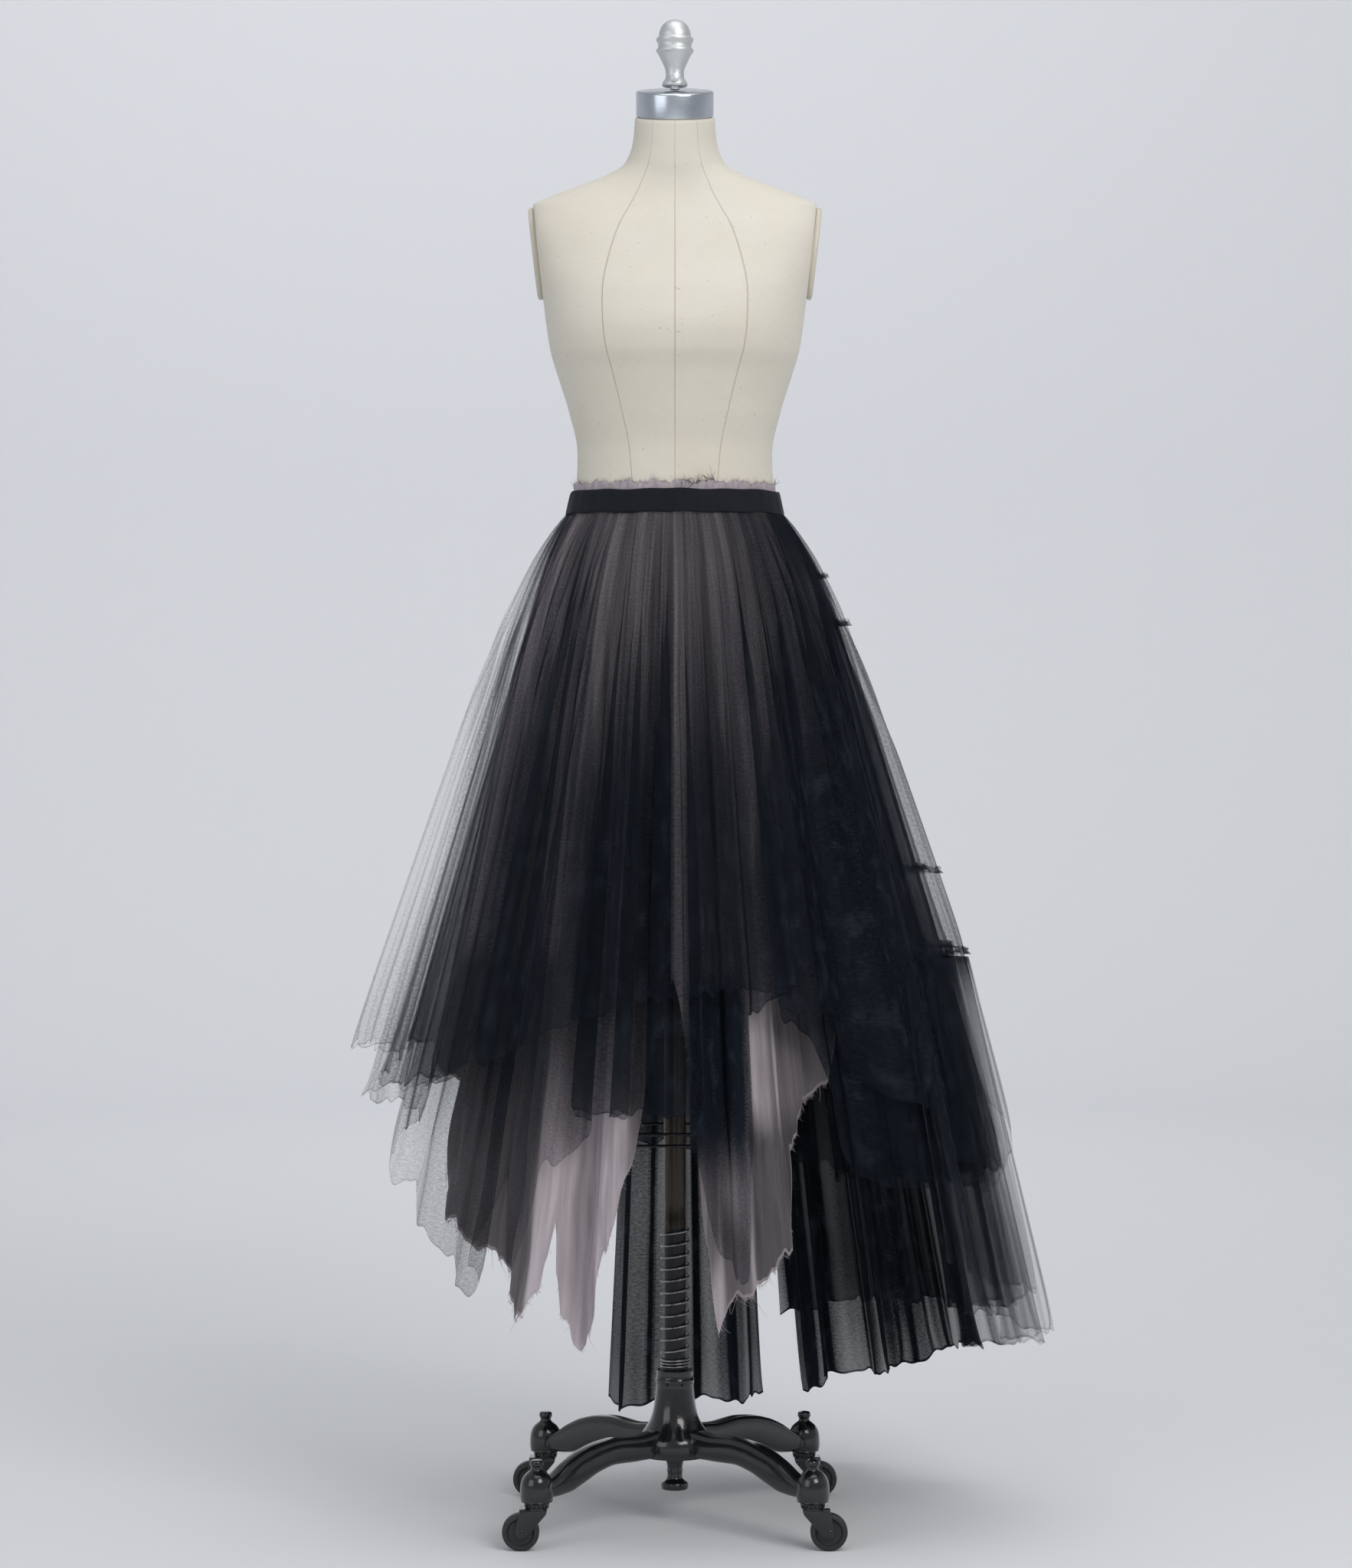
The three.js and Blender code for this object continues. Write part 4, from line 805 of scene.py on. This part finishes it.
def torsoShape(u, t):
    rows = np.array(torsoRows, float)
    heights = rows[:, 0]
    ends = 0.02
    inside = np.clip((t - ends) / (1 - 2 * ends), 0, 1)
    z = heights[0] + (heights[-1] - heights[0]) * inside
    around = 2 * math.pi * u
    angle = around + 0.11 * np.sin((z - 1300) / 120) * np.sin(2 * around)
    values = [monotone(heights, rows[:, k], z) for k in range(1, 6)]
    width, depth, shift, power, lean = values
    radius = (np.abs(np.sin(angle) / width) ** power + np.abs(np.cos(angle) / depth) ** power) ** (-1 / power)
    shrink = np.where(t < ends, t / ends, np.where(t > 1 - ends, (1 - t) / ends, 1.0))
    x = radius * np.sin(angle) * shrink
    y = -radius * np.cos(angle) * shrink
    limit = armPlate["x"] + (z - armPlate["z"]) * math.tan(armPlate["lean"])
    x = np.where(z > armPlate["z"] - armPlate["height"], np.clip(x, -limit, limit), x)
    seam = np.zeros_like(u)
    for centre in torsoSeams["columns"]:
        away = np.abs((np.degrees(around) - centre + 180) % 360 - 180)
        seam = np.maximum(seam, np.clip(1 - away / 1.25, 0, 1))
    tilted = z + y * lean
    seam = np.maximum(seam, np.clip(1 - np.abs(z - torsoSeams["neckZ"]) / 3.6, 0, 1))
    return np.column_stack([x, y + shift, tilted]), {"uv": np.column_stack([angle * 0.14, z / 1000]), "seam": seam * (shrink == 1.0)}


def monotone(xs, ys, at):
    # a smooth curve through the rows that never overshoots them
    steps = np.diff(ys) / np.diff(xs)
    slopes = np.concatenate([[steps[0]], np.where(steps[:-1] * steps[1:] > 0, 2 * steps[:-1] * steps[1:] / (steps[:-1] + steps[1:] + 1e-12), 0), [steps[-1]]])
    i = np.clip(np.searchsorted(xs, at, side="right") - 1, 0, len(xs) - 2)
    h = xs[i + 1] - xs[i]
    s = (at - xs[i]) / h
    return (ys[i] * (2 * s ** 3 - 3 * s ** 2 + 1) + ys[i + 1] * (3 * s ** 2 - 2 * s ** 3)
            + slopes[i] * h * (s ** 3 - 2 * s ** 2 + s) + slopes[i + 1] * h * (s ** 3 - s ** 2))


torsoMesh = drapedMesh("torso", 288, 220, torsoShape, close=True)
torsoPiece = keep("linenTorso", torsoMesh, finishes["linen"], nodes=["torso"], slot="linen")

for side, word in ((-1, "left"), (1, "right")):
    bm = bmesh.new()
    plateProfile = [(0, 0.3), (30.2, 0.3), (30.9, 1.2), (31, 5.2), (30.2, 6.6), (28.6, 7.2), (27.2, 6.6), (24, 6.3), (0, 6.3)]
    turnOut = Matrix.Rotation(side * armPlate["lean"], 4, "Y") @ Matrix.Rotation(side * math.pi / 2, 4, "Y")
    stretch = Matrix.Diagonal((armPlate["height"] / 62, 1, 1, 1))
    lathe(bm, plateProfile, 72, offAxis(side * armPlate["x"], armPlate["y"], armPlate["z"]) @ turnOut @ stretch)
    piece = finishSolid("armPlate" + word.title(), bm, finishes["enamel"], nodes=["arm_plate_" + word], slot="arm_plate")
    sharpen(piece, 50)

neck = {"tilt": math.atan(0.23), "y": -8, "z": 1707.3, "capRadius": 47, "capHeight": 30}
bm = bmesh.new()
capProfile = [(0, 0), (46.2, 0), (46.9, 0.8), (47, 2), (47, 27.4), (46.7, 28.6), (45.6, 29.6), (44.2, 30), (0, 30)]
lathe(bm, capProfile, 96, offAxis(0, neck["y"], neck["z"]) @ Matrix.Rotation(neck["tilt"], 4, "X"))
bm.verts.ensure_lookup_table()
capUv = bm.loops.layers.uv.new("cloth")
for face in bm.faces:
    for loop in face.loops:
        around = math.atan2(loop.vert.co.x - axisX, axisY + neck["y"] / 1000 - loop.vert.co.y)
        loop[capUv].uv = (0.25 + abs(around) / math.pi * 0.5, loop.vert.co.z)
capPiece = finishSolid("neckCap", bm, finishes["chrome"], nodes=["neck_cap"], slot="cap_steel")
sharpen(capPiece, 35)

finialProfile = [(0, 0), (6, 0), (6, 3), (13.5, 3.3), (15.1, 4.6), (15.3, 7), (14.2, 9.3), (12.2, 12), (11.2, 15), (11.1, 20), (11.9, 25), (14.5, 31),
                 (17.5, 37), (20.4, 43), (22.2, 44.6), (22.6, 46.5), (22, 48.4), (20.5, 49.2), (20.1, 52), (20.5, 55), (21.8, 57.2), (22.6, 59.8),
                 (21.6, 62), (19.4, 63.2), (19.3, 66.5), (18.4, 70.5), (16.6, 74.8), (13.7, 78.6), (9.4, 81.8), (4.8, 83.5), (0, 84)]
capTop = Matrix.Rotation(neck["tilt"], 3, "X") @ Vector((0, 0, neck["capHeight"]))
finialZ = neck["z"] + capTop.z + 6 * 0.23 + 0.3
finialPlace = offAxis(0, neck["y"] + capTop.y, finialZ)
bm = bmesh.new()
lathe(bm, rounded(finialProfile, 2), 64, finialPlace)
screwPlace = finialPlace @ Matrix.Translation((0, -0.011, 0.012)) @ Matrix.Rotation(math.pi / 2, 4, "X")
lathe(bm, [(0, -2), (2.6, -2), (2.6, 3), (4.6, 3.2), (5, 4), (4.8, 6.2), (3.6, 7), (0, 7)], 20, screwPlace)
finialPiece = finishSolid("acornFinial", bm, finishes["silver"], nodes=["finial"], slot="finial_silver")
sharpen(finialPiece, 50)
print("dress form made")


# ---- stand

stand = {"poleRadius": 13.3, "columnTop": 187, "springTop": 360, "torsoBottom": 930}


def rod(bm, start, end, radius, sides=12):
    start, end = Vector(start), Vector(end)
    turn = (end - start).to_track_quat("Z", "Y").to_matrix().to_4x4()
    length = (end - start).length
    lathe(bm, [(0, 0), (radius, 0), (radius, length), (0, length)], sides, offAxis(*start) @ turn)


bm = bmesh.new()
lathe(bm, [(0, 187.3), (13.3, 187.3), (13.3, 360), (0, 360)], 48, offAxis(0, 0, 0))
sharpen(finishSolid("poleLower", bm, finishes["wire"], nodes=["pole_lower"], slot="pole_dark"))
bm = bmesh.new()
upper = [(0, 360.3), (13.3, 360.3), (13.3, 372), (12.9, 373), (12.9, 392), (13.3, 393), (13.3, 929), (0, 929)]
lathe(bm, upper, 48, offAxis(0, 0, 0))
sharpen(finishSolid("poleUpper", bm, finishes["bronze"], nodes=["pole_upper"], slot="pole_bronze"))

spring = {"wire": 1.5, "radius": 16.3, "closeTurns": 3, "closePitch": 3.8, "openTurns": 11, "stepsPerTurn": 30}
bm = bmesh.new()
footZ = stand["columnTop"] + 0.3 + spring["wire"] * 1.1
openPitch = (stand["springTop"] - spring["wire"] - footZ - spring["closeTurns"] * spring["closePitch"]) / spring["openTurns"]
ring = bmesh.ops.create_circle(bm, cap_ends=True, segments=10, radius=spring["wire"] / 1000)["verts"]
bmesh.ops.rotate(bm, verts=ring, cent=(0, 0, 0), matrix=Matrix.Rotation(math.pi / 2, 3, "X"))
bmesh.ops.translate(bm, verts=ring, vec=(spring["radius"] / 1000, 0, footZ / 1000))
profile = bm.verts[:] + bm.edges[:] + bm.faces[:]
for turns, pitch in ((spring["closeTurns"], spring["closePitch"]), (spring["openTurns"], openPitch)):
    steps = turns * spring["stepsPerTurn"]
    rise = (0, 0, pitch / 1000 / spring["stepsPerTurn"])
    spun = bmesh.ops.spin(bm, geom=profile, cent=(0, 0, 0), axis=(0, 0, 1), angle=2 * math.pi * turns, steps=steps, dvec=rise)
    profile = spun["geom_last"]
bmesh.ops.remove_doubles(bm, verts=bm.verts, dist=0.000001)
bmesh.ops.transform(bm, matrix=offAxis(0, 0, 0), verts=bm.verts)
finishSolid("coilSpring", bm, finishes["spring"], nodes=["spring"], slot="spring_black")

cage = {"half": 60, "wire": 2.0, "lowZ": 466, "ringStep": 14}
bm = bmesh.new()
h = cage["half"]
for sx in (-1, 1):
    for sy in (-1, 1):
        rod(bm, (sx * h, sy * h, cage["lowZ"] - 2), (sx * h, sy * h, stand["torsoBottom"] - 0.5), cage["wire"])
for ringZ in (cage["lowZ"], cage["lowZ"] + cage["ringStep"]):
    for side in (-1, 1):
        rod(bm, (-h, side * h, ringZ), (h, side * h, ringZ), cage["wire"] * 0.9)
        rod(bm, (side * h, -h, ringZ), (side * h, h, ringZ), cage["wire"] * 0.9)
sharpen(finishSolid("wireCage", bm, finishes["wire"], nodes=["cage"], slot="cage_black"))

columnProfile = [(0, 82), (37, 82), (41.5, 83.5), (45, 88), (46, 94), (45.3, 103), (41, 110), (35.5, 117), (31, 124.5), (28, 132), (25.6, 142), (24, 154),
                 (23, 164), (22.6, 170), (23.4, 172), (23.4, 176), (22.3, 178), (22.3, 185.4), (21.2, 187), (14.2, 187), (0, 187)]
armRows = [(16, 84, 117), (36, 84, 117), (67, 84, 114.5), (105, 85, 117), (132, 80, 115), (158, 70, 109), (182, 62, 99), (206, 60, 85), (222, 60, 80), (230, 60, 79)]
socketProfile = [(0, 57.8), (17.4, 57.8), (18.6, 59), (19.5, 62.5), (19.7, 68), (19.3, 76), (18.2, 82), (16, 87), (12.6, 91), (9, 93.8), (6.9, 95.6), (6.6, 98),
                 (7.4, 100), (8.1, 101.4), (8, 104), (7, 106.2), (4.4, 107), (0, 107)]
bm = bmesh.new()
lathe(bm, rounded(columnProfile, 2), 72, offAxis(0, 0, 0))
for degrees in (45, 135, 225, 315):
    turn = offAxis(0, 0, 0) @ Matrix.Rotation(math.radians(degrees), 4, "Z")
    verts = bmesh.ops.create_grid(bm, x_segments=48, y_segments=28, size=0.5)["verts"]
    rows = np.array(armRows, float)
    along, about = np.array([(vert.co.x + 0.5, vert.co.y + 0.5) for vert in verts]).T
    reach = rows[0, 0] + (rows[-1, 0] - rows[0, 0]) * along
    low, high = [monotone(rows[:, 0], rows[:, k], reach) for k in (1, 2)]
    across, up = [np.sign(wave) * np.abs(wave) ** 0.5 for wave in (np.cos(2 * math.pi * about), np.sin(2 * math.pi * about))]
    across = across * (12.5 - 2.2 * along) * np.where(up > 0, 1.0, 1.0 + 0.11 * up)
    for vert, point in zip(verts, np.column_stack([reach, across, (low + high) / 2 + up * (high - low) / 2]) / 1000):
        vert.co = point
    bmesh.ops.remove_doubles(bm, verts=verts, dist=0.000001)
    bmesh.ops.holes_fill(bm, edges=[edge for edge in bm.edges if edge.is_boundary], sides=0)
    verts = [vert for vert in verts if vert.is_valid]
    bmesh.ops.transform(bm, matrix=turn, verts=verts)
    lathe(bm, rounded(socketProfile, 2), 56, turn @ Matrix.Translation((0.23, 0, 0)))
basePiece = finishSolid("castBase", bm, finishes["iron"], nodes=["base_casting"], slot="base_iron")
sharpen(basePiece, 55)

bm = bmesh.new()
footProfile = [(0, 41), (14, 41), (15.8, 42), (16.5, 44), (16.5, 48), (15.4, 49.8), (12, 52), (9.6, 55), (9, 60), (9.6, 64), (9.2, 68), (10.4, 74), (11.5, 81.6), (0, 81.6)]
lathe(bm, rounded(footProfile, 2), 48, offAxis(0, 0, 0))
sharpen(finishSolid("spindleFoot", bm, finishes["iron"], nodes=["spindle_foot"], slot="base_iron"), 50)
print("stand made")


# ---- casters

caster = {"reach": 230 / math.sqrt(2), "trail": 19, "wheelRadius": 22, "halfWidth": 9, "cheek": 2.6, "gap": 0.8}
wheelProfile = [(3.4, -7.6), (6.4, -7.6), (6.8, -6.6), (9, -6.4), (14.4, -6.4), (15.2, -7.4), (16.4, -8.9), (18.5, -9), (20.6, -8.4), (21.7, -7), (22, -5), (22, 5),
                (21.7, 7), (20.6, 8.4), (18.5, 9), (16.4, 8.9), (15.2, 7.4), (14.4, 6.4), (9, 6.4), (6.8, 6.6), (6.4, 7.6), (3.4, 7.6), (3.4, -7.6)]
for name, sx, sy in (("front_left", -1, -1), ("front_right", 1, -1), ("rear_left", -1, 1), ("rear_right", 1, 1)):
    word = name.title().replace("_", "")
    turn = offAxis(sx * caster["reach"], sy * caster["reach"], 0) @ Matrix.Rotation(math.pi if sx < 0 else 0, 4, "Z")
    hub = turn @ Matrix.Translation((caster["trail"] / 1000, 0, caster["wheelRadius"] / 1000))
    flatAxle = hub @ Matrix.Rotation(math.pi / 2, 4, "X")
    bm = bmesh.new()
    lathe(bm, wheelProfile, 64, flatAxle)
    wheel = finishSolid("wheel" + word, bm, finishes["rubber"], body="roller_" + name, nodes=["wheel_" + name], slot="caster_tyre")
    sharpen(wheel, 45)
    bm = bmesh.new()
    inner = caster["halfWidth"] + caster["gap"]
    for side in (-1, 1):
        outline = [(-12.5, 49.8), (-11, 44), (caster["trail"] - 8.5, 19), (caster["trail"] - 5.5, 16.2), (caster["trail"], 15), (caster["trail"] + 5.5, 17),
                   (caster["trail"] + 7, 22), (caster["trail"] + 5.6, 30), (caster["trail"] + 2, 44), (caster["trail"] + 1, 49.8)]
        verts = [bm.verts.new((x / 1000, side * inner / 1000, z / 1000)) for x, z in outline]
        face = bm.faces.new(verts)
        grown = bmesh.ops.extrude_face_region(bm, geom=[face])["geom"]
        moved = [item for item in grown if isinstance(item, bmesh.types.BMVert)]
        bmesh.ops.translate(bm, verts=moved, vec=(0, side * caster["cheek"] / 1000, 0))
        rim = [edge for edge in bm.edges if edge.verts[0] in moved and edge.verts[1] in moved]
        bmesh.ops.bevel(bm, geom=rim, offset=0.0006, affect="EDGES", segments=2, profile=0.5, material=-1)
    plate = bmesh.ops.create_cube(bm, size=1.0)["verts"]
    bmesh.ops.scale(bm, verts=plate, vec=(0.0325, 0.0246, 0.0042))
    bmesh.ops.translate(bm, verts=plate, vec=(0.0043, 0, 0.0477))
    plateEdges = list({edge for vert in plate for edge in vert.link_edges})
    bmesh.ops.bevel(bm, geom=plateEdges, offset=0.0009, affect="EDGES", segments=2, profile=0.5, material=-1)
    bmesh.ops.transform(bm, matrix=turn, verts=bm.verts)
    lathe(bm, [(0, 49), (13.2, 49), (14, 50), (14.2, 51.4), (12.6, 51.8), (12.6, 54.4), (14.8, 54.8), (15.4, 56), (14.9, 57.2), (0, 57.2)], 48, turn)
    for ball in range(14):
        spot = turn @ Matrix.Rotation(2 * math.pi * ball / 14, 4, "Z") @ Matrix.Translation((0.0132, 0, 0.0531))
        bmesh.ops.create_uvsphere(bm, u_segments=8, v_segments=6, radius=0.0015, matrix=spot)
    axle = [(0, -13.6), (3.4, -13.6), (3.9, -13.2), (3.9, -12.4), (3, -12.2), (3, 12.2), (3.9, 12.4), (3.9, 13.2), (3.4, 13.6), (0, 13.6)]
    lathe(bm, axle, 24, flatAxle)
    piece = finishSolid("fork" + word, bm, finishes["iron"], body="caster_" + name, nodes=["fork_" + name], slot="fork_black")
    sharpen(piece, 40)
print("casters made")


# ---- studio and camera

studio = {"floorRadius": 5.2, "curve": 1.7, "height": 3.0}


def coveProfile():
    bend = [math.radians(degrees) for degrees in range(0, 91, 6)]
    curve = [(studio["floorRadius"] + studio["curve"] * math.sin(turn), studio["curve"] * (1 - math.cos(turn))) for turn in bend]
    wall = (studio["floorRadius"] + studio["curve"], studio["curve"] + studio["height"])
    return [(r * 1000, z * 1000) for r, z in [(0, 0), (1.2, 0), (2.6, 0), *curve, wall]]


# a round cove, so that every side is seen against the same pale paper
bm = bmesh.new()
lathe(bm, coveProfile(), 96, offAxis(0, 0, 0))
sweepMesh = bpy.data.meshes.new("studioCove")
bm.to_mesh(sweepMesh)
bm.free()
sweep = bpy.data.objects.new("studioCove", sweepMesh)
scene.collection.objects.link(sweep)
sweepMesh.materials.append(studioFinish("studioPaper", (0.79, 0.8, 0.82)))
sweepMesh.polygons.foreach_set("use_smooth", np.ones(len(sweepMesh.polygons), bool))


def softLight(name, place, target, size, power, colour=(1, 1, 1)):
    light = bpy.data.lights.new(name, "AREA")
    light.shape, light.size, light.energy, light.color = "SQUARE", size, power, colour
    holder = bpy.data.objects.new(name, light)
    holder.location = place
    holder.rotation_euler = (Vector(target) - Vector(place)).to_track_quat("-Z", "Y").to_euler()
    scene.collection.objects.link(holder)


softLight("keyLight", (1.9, -3.6, 3.3), (0, 0, 1.0), 2.2, 84, (1, 0.98, 0.955))
softLight("fillLight", (-3.0, -3.2, 2.0), (0, 0, 0.9), 2.6, 30, (0.95, 0.97, 1))
softLight("topLight", (0.2, -0.6, 4.6), (0, 0.4, 0.4), 3.0, 46, (0.98, 0.99, 1))
softLight("wallLight", (-0.5, 3.4, 4.4), (0, 6.9, 1.6), 3.0, 60, (0.98, 0.98, 1))
world = bpy.data.worlds.new("studioAir")
scene.world = world
world.use_nodes = True
world.node_tree.nodes["Background"].inputs[0].default_value = (0.95, 0.97, 1.0, 1)
world.node_tree.nodes["Background"].inputs[1].default_value = 0.42

camera = bpy.data.cameras.new("studioCamera")
camera.sensor_fit = "VERTICAL"
camera.sensor_height = 36
camera.lens = 92.66
holder = bpy.data.objects.new("studioCamera", camera)
holder.location = (axisX + 0.0014, axisY - 4.9, 1.0)
holder.rotation_euler = (math.radians(90 - 1.17), 0, 0)
scene.collection.objects.link(holder)
scene.camera = holder
scene.view_settings.view_transform = "Standard"
scene.cycles.transparent_max_bounces = 24
print("studio set")
